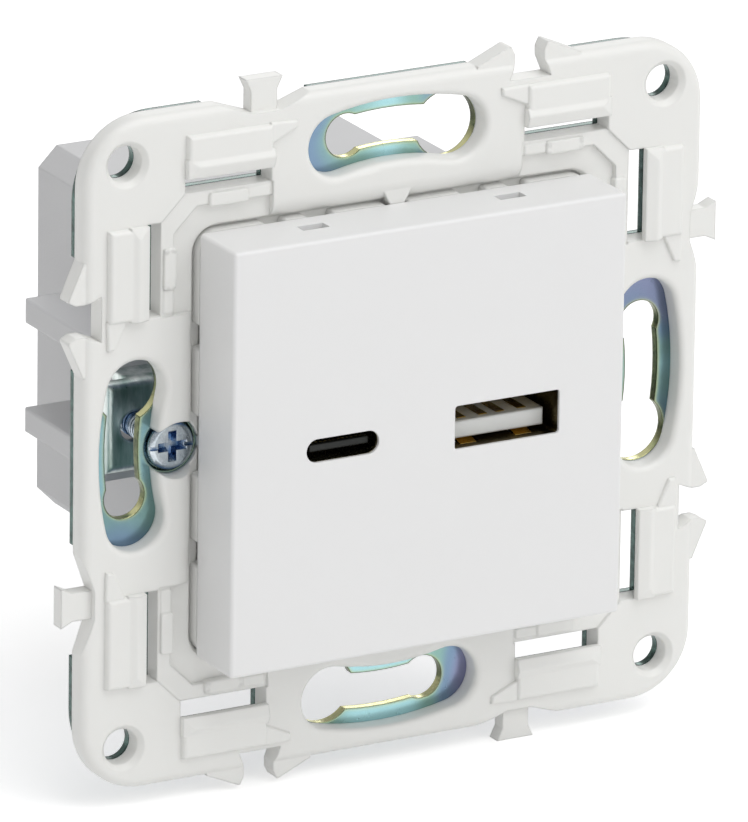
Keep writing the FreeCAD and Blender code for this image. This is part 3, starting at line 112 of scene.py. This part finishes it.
class SocketPlasticSettings(bpy.types.PropertyGroup):
    """Colours and grain of the moulded parts."""
    cover: colour("Cover", "Colour of the cover's glossy plastic", "#ECECEC")
    support: colour("Support frame", "Colour of the frame's satin plastic", "#EEEEEB")
    carrier: colour("Carrier", "Colour of the carrier's plastic", "#E9E9E7")
    housing: colour("Housing", "Colour of the rear housing's matt plastic", "#CFCFD0")
    grain: FloatProperty(name="Grain", description="Size of the spark-eroded grain left by the mould",
                         default=0.00012, min=0.00001, max=0.002, unit="LENGTH")
    edge: FloatProperty(name="Edge softness", description="Radius that the mould leaves on sharp edges",
                        default=0.00032, min=0.0, max=0.001, unit="LENGTH")


class SocketMetalSettings(bpy.types.PropertyGroup):
    """Colours of the plated parts."""
    slate: colour("Slate film", "Blue-grey tone of the passivation film", "#7890A8")
    violet: colour("Violet film", "Lavender tone of the passivation film", "#8D90B0")
    teal: colour("Teal film", "Green tone of the passivation film", "#86AAA2")
    aqua: colour("Aqua film", "Palest tone of the passivation film", "#A2CDD2")
    gold: colour("Gold film", "Yellow-green tone where the film thins out near an edge", "#B8BE84")
    # Painted highlight: the pale tone given to cut walls that look up inside the slots
    cream_painted_highlight: colour("Burnished edge", "Tone of the cut edges burnished by the press", "#EAE8B0")
    # Painted shade: the dark tone of cut walls that look sideways or down, and of the dark reflection along
    # the rolled edge
    olive_painted_shade: colour("Cut edge", "Dark tone of the cut edges inside the slots", "#3B4530")
    # Painted dark reflection on the sheet's outline and clip slots
    outer: colour("Outer edge", "Tone of the sheet's outline and clip slots", "#2E3B37")
    # Painted shade, mixed into the film at the left and right
    deep_painted_shade: colour("Deep film", "Tone that the film takes on at the left and right", "#4C6474")
    brass: colour("Brass", "Colour of the terminals", "#C9A869")
    # Painted highlight, used only on the wide port's spring fingers
    finger_highlight_gilding: colour("Gilding", "Colour of the contacts", "#D9B45A")
    film_patch: FloatProperty(name="Film drift", description="Distance over which the film changes colour",
                              default=0.011, min=0.0005, max=0.05, unit="LENGTH")
    film_slope: FloatProperty(name="Film slope", description="Growth of the film to the right, per metre",
                              default=6.0)
    film_edge: FloatProperty(name="Film edge", description="Width of the yellow-green band along cut edges",
                             default=0.0009, min=0.0, max=0.01, unit="LENGTH")
    slot_reach: FloatProperty(name="Slot reach", description="Half the length of a keyhole slot",
                              default=0.012, min=0.0, max=0.05, unit="LENGTH")
    slot_outside: FloatProperty(name="Slot outside", description="How far out a keyhole slot reaches",
                                default=0.0335, min=0.0, max=0.05, unit="LENGTH")


class SocketThreadSettings(bpy.types.PropertyGroup):
    """Threads on the claw screws."""
    pitch: FloatProperty(name="Pitch", description="Pitch of the M3 thread", default=0.0005,
                         min=0.0002, max=0.002, unit="LENGTH")
    core: FloatProperty(name="Core", description="Diameter of the shank that the thread winds round",
                        default=0.0026, min=0.0005, max=0.01, unit="LENGTH")
    depth: FloatProperty(name="Depth", description="Height of the thread's crest above its shank",
                         default=0.0002, min=0.0, max=0.001, unit="LENGTH")
    segments: IntProperty(name="Segments", description="Steps in one turn of the thread",
                          default=20, min=8, max=48)


class SocketStageSettings(bpy.types.PropertyGroup):
    """Studio and camera."""
    azimuth: FloatProperty(name="Azimuth", description="Camera's turn round the socket",
                           default=math.radians(-29.12), subtype="ANGLE")
    elevation: FloatProperty(name="Elevation", description="Camera's height above the horizon",
                             default=math.radians(18.79), subtype="ANGLE")
    roll: FloatProperty(name="Roll", description="Camera's tilt",
                        default=math.radians(0.83), subtype="ANGLE")
    lens: FloatProperty(name="Lens", description="Focal length in millimetres on a 36 mm sensor",
                        default=528.66, min=10.0)
    distance: FloatProperty(name="Distance", description="Camera's distance from the frame's front",
                            default=1.2214, min=0.1, unit="LENGTH")
    floor: colour("Floor", "Colour of the floor", "#F4F4F4")
    key: FloatProperty(name="Key light", description="Power of the large front light, in watts",
                       default=2.1, min=0.0)
    top: FloatProperty(name="Top light", description="Power of the overhead light, in watts",
                       default=3.8, min=0.0)
    rim: FloatProperty(name="Rim light", description="Power of the small light behind, in watts",
                       default=0.6, min=0.0)
    fill: FloatProperty(name="Fill", description="Strength of the even surrounding light",
                        default=0.57, min=0.0)
    glow: FloatProperty(name="Floor glow",
                        description="Light that the floor seems to give where it is seen",
                        default=0.42, min=0.0)


# Materials

def add(tree, kind, inputs=None, **settings):
    """Adds a node, with its settings, and with each input set to a value or linked from a socket."""
    made = tree.nodes.new(kind)
    for name, value in settings.items():
        setattr(made, name, value)
    for key, value in (inputs or {}).items():
        if isinstance(value, bpy.types.NodeSocket):
            tree.links.new(value, made.inputs[key])
        else:
            made.inputs[key].default_value = value
    return made


def set_ramp(ramp, stops):
    """Fills a colour ramp from (position, linear colour) pairs."""
    elements = ramp.color_ramp.elements
    while len(elements) < len(stops):
        elements.new(0.5)
    for element, (position, value) in zip(elements, stops):
        element.position = position
        element.color = (*value[:3], 1.0)


def started(name):
    """A material of that name with an empty tree, its output and a principled shader."""
    material = bpy.data.materials.new(name)
    material.use_nodes = True
    tree = material.node_tree
    tree.nodes.clear()
    output = tree.nodes.new("ShaderNodeOutputMaterial")
    shader = tree.nodes.new("ShaderNodeBsdfPrincipled")
    tree.links.new(shader.outputs["BSDF"], output.inputs["Surface"])
    return material, tree, shader


def mixed(tree, factor, low, high):
    """Two colours or colour sockets mixed by a factor."""
    sides = [side if isinstance(side, bpy.types.NodeSocket) else (*side[:3], 1.0) for side in (low, high)]
    return add(tree, "ShaderNodeMix", {"Factor": factor, "A": sides[0], "B": sides[1]},
               data_type="RGBA").outputs["Result"]


def maths(tree, operation, first, second=0.0):
    """One sum on two numbers or sockets."""
    return add(tree, "ShaderNodeMath", {0: first, 1: second}, operation=operation).outputs["Value"]


def stretched(tree, value, start, end):
    """A value stretched so that it runs from 0 to 1 between two numbers."""
    return add(tree, "ShaderNodeMapRange",
               {"Value": value, "From Min": start, "From Max": end}).outputs["Result"]


def noise(tree, coordinates, size, detail=2.0, rough=0.5):
    """Noise with patches of a size in metres."""
    return add(tree, "ShaderNodeTexNoise", {"Vector": coordinates, "Scale": 1.0 / size, "Detail": detail,
                                            "Roughness": rough}).outputs["Fac"]


def tone(tree, factor, value, low, high):
    """The colour made a little darker and a little lighter, mixed by a factor."""
    return mixed(tree, factor, [c * low for c in value[:3]], [min(c * high, 1.0) for c in value[:3]])


def spread(tree, factor, low, high):
    """The middle of a noise stretched between two numbers."""
    return add(tree, "ShaderNodeMapRange", {"Value": factor, "From Min": 0.3, "From Max": 0.7,
                                            "To Min": low, "To Max": high}).outputs["Result"]


def directions(tree):
    """The ways in which the surface looks, along X, Y and Z."""
    normal = add(tree, "ShaderNodeNewGeometry").outputs["Normal"]
    return add(tree, "ShaderNodeSeparateXYZ", {"Vector": normal}).outputs


def edge_nearness(tree, radius, start):
    """0 on open faces, rising to 1 within a radius of a sharp edge."""
    rounded = add(tree, "ShaderNodeBevel", {"Radius": radius}, samples=BEVEL_SAMPLES).outputs["Normal"]
    normal = add(tree, "ShaderNodeNewGeometry").outputs["Normal"]
    same = add(tree, "ShaderNodeVectorMath", {0: rounded, 1: normal}, operation="DOT_PRODUCT")
    return stretched(tree, same.outputs["Value"], 1.0, start)


def surfaced(tree, shader, base, roughness, height, strength, distance, edge, metallic=0.0):
    """Links a shader's colour and roughness, and its bumps over softened edges."""
    soft = add(tree, "ShaderNodeBevel", {"Radius": edge}, samples=BEVEL_SAMPLES).outputs["Normal"]
    bump = add(tree, "ShaderNodeBump", {"Height": height, "Strength": strength, "Distance": distance,
                                        "Normal": soft}).outputs["Normal"]
    tree.links.new(base, shader.inputs["Base Color"])
    tree.links.new(roughness, shader.inputs["Roughness"])
    tree.links.new(bump, shader.inputs["Normal"])
    shader.inputs["Metallic"].default_value = metallic


def moulded(name, value, grain, edge, roughness, depth=0.25, ior=1.53, scatter=0.0):
    """Moulded plastic: fine grain from the mould, soft edges, faint cloudiness and uneven gloss."""
    material, tree, shader = started(name)
    place = add(tree, "ShaderNodeTexCoord").outputs["Object"]
    cloud = noise(tree, place, 14 * MM, 3.0)
    # Grain too fine to resolve is drawn a little coarser, as a broken sheen
    speck = noise(tree, place, grain)
    surfaced(tree, shader, tone(tree, cloud, value, 0.985, 1.01),
             spread(tree, cloud, roughness * 0.9, roughness * 1.1), speck, depth, grain * 0.25, edge)
    shader.inputs["IOR"].default_value = ior
    if scatter:
        # White plastic lets a little light in, which fills its shadows softly
        shader.inputs["Subsurface Weight"].default_value = scatter
        shader.inputs["Subsurface Radius"].default_value = (0.6, 0.55, 0.5)
        shader.inputs["Subsurface Scale"].default_value = 1.2 * MM
    return material


def plated(name, low, high, roughness, patch, edge=0.08 * MM, marks=0.25 * MM, draw=1.0, hollow_film_and_shade=None):
    """Plated metal: patches of two tones, marks drawn along Z, soft edges, a darker tone for hollows that
    is partly painted shade.
    """
    material, tree, shader = started(name)
    place = add(tree, "ShaderNodeTexCoord").outputs["Object"]
    drawn = add(tree, "ShaderNodeMapping", {"Vector": place, "Scale": (1.0, 1.0, 1.0 / draw)})
    patches = noise(tree, drawn.outputs["Vector"], patch, 4.0, 0.6)
    fine = noise(tree, drawn.outputs["Vector"], marks, 3.0, 0.6)
    blend = mixed(tree, spread(tree, patches, 0.0, 1.0), low, high)
    if hollow_film_and_shade:
        # Drive recesses, found by ambient occlusion, take a darker blue: the film's own blue, deepened by
        # painted shade
        open_air_shade_mask = add(tree, "ShaderNodeAmbientOcclusion", {"Distance": 1.2 * MM}, samples=8).outputs["AO"]
        blend = mixed(tree, stretched(tree, open_air_shade_mask, 0.8, 0.45), blend, hollow_film_and_shade)
    surfaced(tree, shader, blend, spread(tree, fine, roughness * 0.8, roughness * 1.25), fine, 0.2,
             marks * 0.2, edge, 1.0)
    return material


def film_colour(tree, metals, spot, sides, aside):
    """Interference colours that follow the film's thickness over the sheet, with painted shade towards the
    left and right.
    """
    # The film grows from the middle of each side towards the slots' ends, and from left to right
    drift = maths(tree, "SUBTRACT", noise(tree, spot, metals.film_patch, 1.0, 0.35), 0.5)
    parts = add(tree, "ShaderNodeSeparateXYZ", {"Vector": spot}).outputs
    along = maths(tree, "ADD", parts["X"], maths(tree, "MULTIPLY", parts["Z"], 0.5))
    away = maths(tree, "DIVIDE", aside, metals.film_patch)
    swing = maths(tree, "MULTIPLY", drift, maths(tree, "ADD", away, 0.7))
    thickness = maths(tree, "ADD", maths(tree, "MINIMUM", away, 1.0), swing)
    thickness = maths(tree, "ADD", thickness, maths(tree, "MULTIPLY", along, metals.film_slope))
    film = add(tree, "ShaderNodeValToRGB", {"Fac": thickness})
    film.color_ramp.interpolation = "EASE"
    set_ramp(film, [(0.1, metals.aqua), (0.42, metals.teal), (0.7, metals.slate), (1.0, metals.violet)])
    # Painted shade: the film in the left and right windows is mixed half way to a darker tone
    side_painted_shade = stretched(tree, maths(tree, "SUBTRACT", *sides), 8 * MM, 26 * MM)
    return mixed(tree, maths(tree, "MULTIPLY", side_painted_shade, 0.5), film.outputs["Color"], metals.deep_painted_shade)


def passivated(name, metals):
    """Stamped steel under iridescent passivation: slow drifts of colour, gold along the cut edges, painted
    highlight and shade on the cut walls and rolled edges.
    """
    material, tree, shader = started(name)
    place = add(tree, "ShaderNodeTexCoord").outputs["Object"]
    spot = add(tree, "ShaderNodeSeparateXYZ", {"Vector": place}).outputs
    sides = maths(tree, "ABSOLUTE", spot["X"]), maths(tree, "ABSOLUTE", spot["Z"])
    aside, outward = maths(tree, "MINIMUM", *sides), maths(tree, "MAXIMUM", *sides)
    streaks = noise(tree, place, 0.8 * MM, 3.0, 0.6)
    marks = spread(tree, streaks, 0.0, 1.0)
    # The open sheet turns yellow-green near a cut, and a painted dark reflection lines the rolled edge
    # itself
    near = maths(tree, "MULTIPLY", edge_nearness(tree, metals.film_edge, 0.7), 0.8)
    rim = maths(tree, "MULTIPLY", edge_nearness(tree, metals.film_edge / 3, 0.75), 0.75)
    sheet = mixed(tree, near, film_colour(tree, metals, place, sides, aside), metals.gold)
    face = mixed(tree, rim, sheet, metals.olive_painted_shade)
    # Cut walls look along X or Z: sheared steel, dark as painted shade, with a pale painted highlight in
    # the slots where they look up
    looks = directions(tree)
    slot = maths(tree, "MULTIPLY", stretched(tree, aside, metals.slot_reach, metals.slot_reach - 0.5 * MM),
                 stretched(tree, outward, metals.slot_outside, metals.slot_outside - 0.5 * MM))
    upward_painted_highlight = maths(tree, "MULTIPLY", stretched(tree, looks["Z"], 0.2, 0.7), slot)
    sheared = mixed(tree, maths(tree, "MULTIPLY", marks, 0.3), metals.olive_painted_shade, metals.gold)
    # Painted dark reflection on the outline walls, streaked with teal
    outline = mixed(tree, maths(tree, "MULTIPLY", marks, 0.35), metals.outer, metals.teal)
    wall = mixed(tree, slot, outline, mixed(tree, upward_painted_highlight, sheared, metals.cream_painted_highlight))
    cut = stretched(tree, maths(tree, "ABSOLUTE", looks["Y"]), 0.9, 0.35)
    surfaced(tree, shader, mixed(tree, cut, face, wall), spread(tree, streaks, 0.2, 0.28), streaks, 0.12,
             0.04 * MM, 0.32 * MM, 1.0)
    return material


def port_sheet(name, low, high, finger_highlight_tone):
    """Folded port sheet: painted dark for the shade inside, with a painted highlight on the spring fingers.
    """
    material, tree, shader = started(name)
    place = add(tree, "ShaderNodeTexCoord").outputs["Object"]
    patches = noise(tree, place, 1.5 * MM, 4.0, 0.6)
    fine = noise(tree, place, 0.2 * MM, 3.0, 0.6)
    # Only the fingers lean away from the shell's straight walls, and they take the painted highlight
    lean = maths(tree, "ABSOLUTE", directions(tree)["Y"])
    finger_painted_highlight = maths(tree, "MULTIPLY", stretched(tree, lean, 0.02, 0.08), stretched(tree, lean, 0.9, 0.7))
    base = mixed(tree, spread(tree, patches, 0.0, 1.0), low, high)
    surfaced(tree, shader, mixed(tree, finger_painted_highlight, base, finger_highlight_tone), spread(tree, fine, 0.25, 0.38), fine, 0.2,
             0.04 * MM, 0.1 * MM, 1.0)
    return material


def laminate(name):
    """Glass-fibre circuit board: green solder resist over faint copper tracks."""
    material, tree, shader = started(name)
    place = add(tree, "ShaderNodeTexCoord").outputs["Object"]
    turned = add(tree, "ShaderNodeMapping", {"Vector": place, "Rotation": (math.pi / 2, 0.0, 0.0)})
    tracks = add(tree, "ShaderNodeTexBrick", {
        "Vector": turned.outputs["Vector"], "Color1": srgb("#1E6B3C"), "Color2": srgb("#175B33"),
        "Mortar": srgb("#0E4526"), "Scale": 1.0, "Mortar Size": 0.0004, "Brick Width": 0.0062,
        "Row Height": 0.0021}, offset=0.35)
    weave = noise(tree, place, 0.5 * MM, 1.0)
    surfaced(tree, shader, tracks.outputs["Color"], spread(tree, weave, 0.28, 0.42), tracks.outputs["Fac"],
             0.4, 0.04 * MM, 0.05 * MM)
    return material


def wound(name):
    """Enamelled copper winding: round wires side by side along Y, under clear varnish, with painted shade
    between the wires.
    """
    material, tree, shader = started(name)
    place = add(tree, "ShaderNodeTexCoord").outputs["Object"]
    wires = add(tree, "ShaderNodeTexWave", {"Vector": place, "Scale": WIRE_BANDS, "Distortion": 0.3},
                bands_direction="Y").outputs["Fac"]
    # Painted shade: dark brown in the grooves between wires, lighter on their crests
    surfaced(tree, shader, mixed(tree, wires, srgb("#6B3215"), srgb("#C9793B")),
             spread(tree, wires, 0.4, 0.25), wires, 0.7, 0.1 * MM, 0.05 * MM, 0.7)
    return material


def dress(material, *names):
    """Gives CAD nodes their material."""
    for name in names:
        mesh = NODES[name].data
        mesh.materials.clear()
        mesh.materials.append(material)


# Modelling

def deselect():
    """Leaves edit mode and deselects everything."""
    if bpy.context.object and bpy.context.object.mode != "OBJECT":
        bpy.ops.object.mode_set(mode="OBJECT")
    bpy.ops.object.select_all(action="DESELECT")


def settle(piece, name, material, body):
    """Names a finished piece, moves its place into its mesh and lets it ride on its body."""
    deselect()
    bpy.context.view_layer.objects.active = piece
    piece.select_set(True)
    bpy.ops.object.transform_apply(location=True, rotation=True, scale=True)
    bpy.ops.object.mode_set(mode="EDIT")
    bpy.ops.mesh.select_all(action="SELECT")
    bpy.ops.mesh.remove_doubles(threshold=MERGE_DISTANCE)
    bpy.ops.mesh.normals_make_consistent(inside=False)
    bpy.ops.object.mode_set(mode="OBJECT")
    bpy.ops.object.shade_smooth_by_angle(angle=SMOOTH_ANGLE)
    piece.name = name
    piece.data.name = name
    piece.data.materials.clear()
    piece.data.materials.append(material)
    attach(piece, body)


def screw_thread(name, centre, radius, start, end, settings, material, body):
    """A helical ridge along Y, wound from one triangular section by the screw modifier."""
    deselect()
    turns = (end - start) / settings.pitch
    bpy.ops.mesh.primitive_circle_add(vertices=3, radius=settings.pitch * 0.5, fill_type="NOTHING",
                                      location=(centre[0] + radius, start, centre[1]))
    piece = bpy.context.object
    bpy.ops.object.mode_set(mode="EDIT")
    bpy.ops.mesh.select_all(action="SELECT")
    bpy.ops.transform.rotate(value=math.pi / 2, orient_axis="Z", center_override=piece.location)
    # One pitch wide but for a thin groove, and as high as the thread
    bpy.ops.transform.resize(value=(settings.depth / settings.pitch, 0.95, 1.0),
                             center_override=piece.location)
    bpy.ops.object.mode_set(mode="OBJECT")
    bpy.ops.object.transform_apply(location=True, rotation=True, scale=True)
    bpy.context.scene.cursor.location = (centre[0], start, centre[1])
    bpy.ops.object.origin_set(type="ORIGIN_CURSOR")
    wind = piece.modifiers.new("wind", "SCREW")
    wind.axis = "Y"
    wind.angle = 2 * math.pi * turns
    wind.screw_offset = end - start
    wind.steps = int(settings.segments * turns)
    wind.render_steps = wind.steps
    bpy.ops.object.modifier_apply(modifier=wind.name)
    settle(piece, name, material, body)


# Operators

class SOCKET_OT_cover(bpy.types.Operator):
    """Finish the cover in smooth white plastic"""
    bl_idname = "socket.cover"
    bl_label = "Cover"

    def execute(self, context):
        plastic = context.scene.socket_plastic
        # Cover, moulded in polished ABS: nearly even white with a soft, clean sheen
        dress(moulded("white_abs_moulded_smooth", plastic.cover, plastic.grain, 0.15 * MM, 0.34, 0.08,
                      scatter=0.05), "cover")
        return {"FINISHED"}


class SOCKET_OT_support_frame(bpy.types.Operator):
    """Finish the support frame in satin plastic"""
    bl_idname = "socket.support_frame"
    bl_label = "Support frame"

    def execute(self, context):
        plastic = context.scene.socket_plastic
        # Support frame, moulded in polycarbonate: satin, with edges that the mould rounds off
        dress(moulded("white_polycarbonate_moulded_satin", plastic.support, plastic.grain, plastic.edge,
                      0.42, 0.2, POLYCARBONATE, 0.06), "support_frame")
        return {"FINISHED"}


class SOCKET_OT_mounting_plate(bpy.types.Operator):
    """Finish the steel plate with its iridescent film"""
    bl_idname = "socket.mounting_plate"
    bl_label = "Mounting plate"

    def execute(self, context):
        # Sheet steel, stamped, zinc plated and passivated: blue, violet and gold interference colours
        dress(passivated("steel_sheet_zinc_passivated", context.scene.socket_metal), "mounting_plate")
        return {"FINISHED"}


class SOCKET_OT_housings(bpy.types.Operator):
    """Finish the carrier and the rear housing"""
    bl_idname = "socket.housings"
    bl_label = "Housings"

    def execute(self, context):
        plastic = context.scene.socket_plastic
        # Carrier, moulded in polycarbonate: satin white, like the frame
        dress(moulded("white_polycarbonate_carrier", plastic.carrier, plastic.grain, 0.15 * MM, 0.45, 0.2,
                      POLYCARBONATE), "housing_front")
        # Rear housing, moulded in filled polycarbonate: cooler and matt, with a coarser grain
        dress(moulded("grey_white_polycarbonate_matt", plastic.housing, plastic.grain * 2, plastic.edge,
                      0.55, 0.35, POLYCARBONATE), "housing_rear")
        return {"FINISHED"}


class SOCKET_OT_claws(bpy.types.Operator):
    """Finish the spreading claws and their screws, and wind the screws' threads"""
    bl_idname = "socket.claws"
    bl_label = "Claws and screws"

    def execute(self, context):
        scene = context.scene
        # Claws, pressed from spring steel and zinc plated: greenish grey, streaked where they were drawn
        claw = plated("spring_steel_zinc_plated", srgb("#93A9A3"), srgb("#F2F6F4"), 0.34, 1.5 * MM,
                      0.5 * MM, 0.2 * MM, draw=5.0)
        dress(claw, "claw_left", "claw_right")
        # Screws, turned and blue passivated: bright with a blue cast, a darker blue in their recesses that
        # is partly painted shade
        screw = plated("steel_screw_blue_passivated", srgb("#A4B0BA"), srgb("#D2D9DE"), 0.24, 1.2 * MM,
                       hollow_film_and_shade=srgb("#5C80AA"))
        dress(screw, "claw_screw_left", "claw_screw_right", "housing_screws",
              "terminal_screw_live", "terminal_screw_neutral")
        low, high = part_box("claw_screw_right")
        thread = scene.socket_thread
        reach = (low.x + high.x) / 2
        for side, sign in (("left", -1), ("right", 1)):
            screw_thread("claw_screw_thread_" + side, (sign * reach, 0.0), thread.core / 2, THREAD_START,
                         high.y - THREAD_RUN_OUT, thread, screw, "claw_screw_" + side)
        return {"FINISHED"}


class SOCKET_OT_ports(bpy.types.Operator):
    """Finish both ports' shells, cores and contacts"""
    bl_idname = "socket.ports"
    bl_label = "Ports"

    def execute(self, context):
        metals = context.scene.socket_metal
        # Wide port's shell, folded from tin-plated copper alloy: painted dark and warm as shade, with a
        # painted highlight on its fingers
        dress(port_sheet("copper_alloy_sheet_tin_plated", srgb("#4E4330"), srgb("#857852"),
                         metals.finger_highlight_gilding), "usb_a_shell")
        # Small port's shell, drawn from nickel-plated steel: dull and brownish
        dress(plated("steel_sheet_nickel_plated", srgb("#6B6450"), srgb("#A09878"), 0.28, 2 * MM),
              "usb_c_shell")
        # Contacts, gilded: bronze in the wide port, darker still in the small one
        dress(plated("copper_alloy_gilded", srgb("#8A7038"), srgb("#B4964E"), 0.3, 2 * MM),
              "usb_a_contacts")
        dress(plated("copper_alloy_gilded_worn", srgb("#4A4128"), srgb("#7A6A3C"), 0.35, 1 * MM),
              "usb_c_contacts")
        # Cores, moulded in liquid-crystal polymer: dull, with flow marks
        dress(moulded("white_lcp_moulded", srgb("#F1F3F1"), 0.2 * MM, 0.3 * MM, 0.45, 0.3, 1.6),
              "usb_a_tongue")
        dress(moulded("black_lcp_moulded", srgb("#141714"), 0.2 * MM, 0.3 * MM, 0.55, 0.3, 1.48),
              "usb_c_tongue")
        return {"FINISHED"}


class SOCKET_OT_boards(bpy.types.Operator):
    """Finish the circuit boards and the parts on them"""
    bl_idname = "socket.boards"
    bl_label = "Boards"

    def execute(self, context):
        # Boards, glass fibre under solder resist: green, with the tracks showing as darker lines
        dress(laminate("glass_fibre_board_solder_resist"), "output_board", "power_board")
        # Winding, enamelled copper wire laid side by side: warm brown ridges under varnish, with painted
        # shade in the grooves
        dress(wound("copper_wire_enamelled"), "transformer_winding")
        # Link, brass pins tin plated: pale grey and bright
        dress(plated("brass_pin_tin_plated", srgb("#A9A79F"), srgb("#D3D1C9"), 0.25, 2 * MM), "board_link")
        # Parts, moulded, sleeved or sintered: each a plain colour broken by its grain
        for name, tint, grain, edge, roughness, depth, ior, nodes in BOARD_PARTS:
            dress(moulded(name, srgb(tint), grain * MM, edge * MM, roughness, depth, ior), *nodes)
        return {"FINISHED"}


class SOCKET_OT_terminals(bpy.types.Operator):
    """Finish the mains terminals"""
    bl_idname = "socket.terminals"
    bl_label = "Terminals"

    def execute(self, context):
        metals = context.scene.socket_metal
        # Terminals, pressed and bent from brass: yellow with darker handling marks
        dress(plated("brass_pressed", srgb("#A98A4E"), metals.brass, 0.3, 3 * MM), "terminal_cage_live",
              "terminal_cage_neutral", "terminal_bar_live", "terminal_bar_neutral")
        return {"FINISHED"}


class SOCKET_OT_stage(bpy.types.Operator):
    """Set up the floor, lights and camera"""
    bl_idname = "socket.stage"
    bl_label = "Studio"

    def execute(self, context):
        scene = context.scene
        settings = scene.socket_stage
        deselect()
        floor_height = CAD_BOX[0].z
        bpy.ops.mesh.primitive_plane_add(size=FLOOR_SIZE, location=(0.0, 0.0, floor_height))
        floor = context.object
        floor.name = "studio_floor"
        floor.data.materials.append(self.floor_material(settings))
        for name, size, place in LAMPS:
            self.lamp(context, name, getattr(settings, name), size, place)
        world = bpy.data.worlds.new("studio_light")
        scene.world = world
        world.use_nodes = True
        background = world.node_tree.nodes["Background"]
        background.inputs["Color"].default_value = (1.0, 1.0, 1.0, 1.0)
        background.inputs["Strength"].default_value = settings.fill
        self.camera(context, settings)
        scene.view_settings.view_transform = "Standard"
        return {"FINISHED"}

    def floor_material(self, settings):
        """Matt white sweep that reads as white where no shadow falls on it."""
        material, tree, shader = started("paper_sweep_white")
        place = add(tree, "ShaderNodeTexCoord").outputs["Object"]
        fibre = noise(tree, place, 2 * MM)
        tree.links.new(tone(tree, fibre, settings.floor, 0.99, 1.0), shader.inputs["Base Color"])
        shader.inputs["Roughness"].default_value = 0.9
        path = add(tree, "ShaderNodeLightPath").outputs
        seen = maths(tree, "MAXIMUM", path["Is Camera Ray"], path["Is Glossy Ray"])
        seen = maths(tree, "MAXIMUM", seen, path["Is Transmission Ray"])
        lift = maths(tree, "MULTIPLY", seen, settings.glow)
        shader.inputs["Emission Color"].default_value = (1.0, 1.0, 1.0, 1.0)
        tree.links.new(lift, shader.inputs["Emission Strength"])
        return material

    def lamp(self, context, name, power, size, place):
        """A square soft light that looks at the socket."""
        bpy.ops.object.light_add(type="AREA", location=place)
        light = context.object
        light.name = name
        light.data.energy = power
        light.data.size = size
        light.rotation_mode = "QUATERNION"
        light.rotation_quaternion = (-Vector(place)).to_track_quat("-Z", "Y")

    def camera(self, context, settings):
        """The camera at the photograph's angle, a little off centre as framed there."""
        # The camera's own axes in the frame, turned by azimuth, elevation and roll
        a, e, r = settings.azimuth, settings.elevation, settings.roll
        back = Vector((math.sin(a) * math.cos(e), -math.cos(a) * math.cos(e), math.sin(e)))
        right = Vector((math.cos(a), math.sin(a), 0.0))
        up = back.cross(right)
        right, up = right * math.cos(r) + up * math.sin(r), up * math.cos(r) - right * math.sin(r)
        # One pixel of the photograph at the socket's distance
        shift = settings.distance / (settings.lens / SENSOR * PHOTO_HEIGHT)
        bpy.ops.object.camera_add()
        camera = context.object
        middle = Vector((0.0, -FRAME_FRONT, 0.0))
        place = middle + back * settings.distance + (up * OFFSET_UP - right * OFFSET_LEFT) * shift
        turn = Matrix((right, up, back)).transposed().to_4x4()
        camera.matrix_world = Matrix.Translation(place) @ turn
        camera.data.sensor_width = SENSOR
        camera.data.lens = settings.lens
        camera.data.clip_end = VIEW_DEPTH
        context.scene.camera = camera


class SOCKET_PT_panel(bpy.types.Panel):
    """Lists the socket's pieces in the sidebar"""
    bl_idname = "SOCKET_PT_panel"
    bl_label = "Wall socket"
    bl_space_type = "VIEW_3D"
    bl_region_type = "UI"
    bl_category = "Wall socket"

    def draw(self, context):
        for operator in OPERATORS:
            self.layout.operator(operator.bl_idname)
        for settings in (context.scene.socket_plastic, context.scene.socket_metal,
                         context.scene.socket_thread, context.scene.socket_stage):
            box = self.layout.box()
            for name in settings.__annotations__:
                box.prop(settings, name)


OPERATORS = (SOCKET_OT_cover, SOCKET_OT_support_frame, SOCKET_OT_mounting_plate, SOCKET_OT_housings,
             SOCKET_OT_claws, SOCKET_OT_ports, SOCKET_OT_boards, SOCKET_OT_terminals, SOCKET_OT_stage)
GROUPS = (("socket_plastic", SocketPlasticSettings), ("socket_metal", SocketMetalSettings),
          ("socket_thread", SocketThreadSettings), ("socket_stage", SocketStageSettings))


def register():
    for name, group in GROUPS:
        bpy.utils.register_class(group)
        setattr(bpy.types.Scene, name, PointerProperty(type=group))
    for item in (*OPERATORS, SOCKET_PT_panel):
        bpy.utils.register_class(item)


def unregister():
    for item in (SOCKET_PT_panel, *reversed(OPERATORS)):
        bpy.utils.unregister_class(item)
    for name, group in reversed(GROUPS):
        delattr(bpy.types.Scene, name)
        bpy.utils.unregister_class(group)


def main():
    """Builds the looks in order."""
    register()
    for operator in OPERATORS:
        family, action = operator.bl_idname.split(".")
        getattr(getattr(bpy.ops, family), action)()
    bpy.context.view_layer.update()


if __name__ == "__main__":
    main()
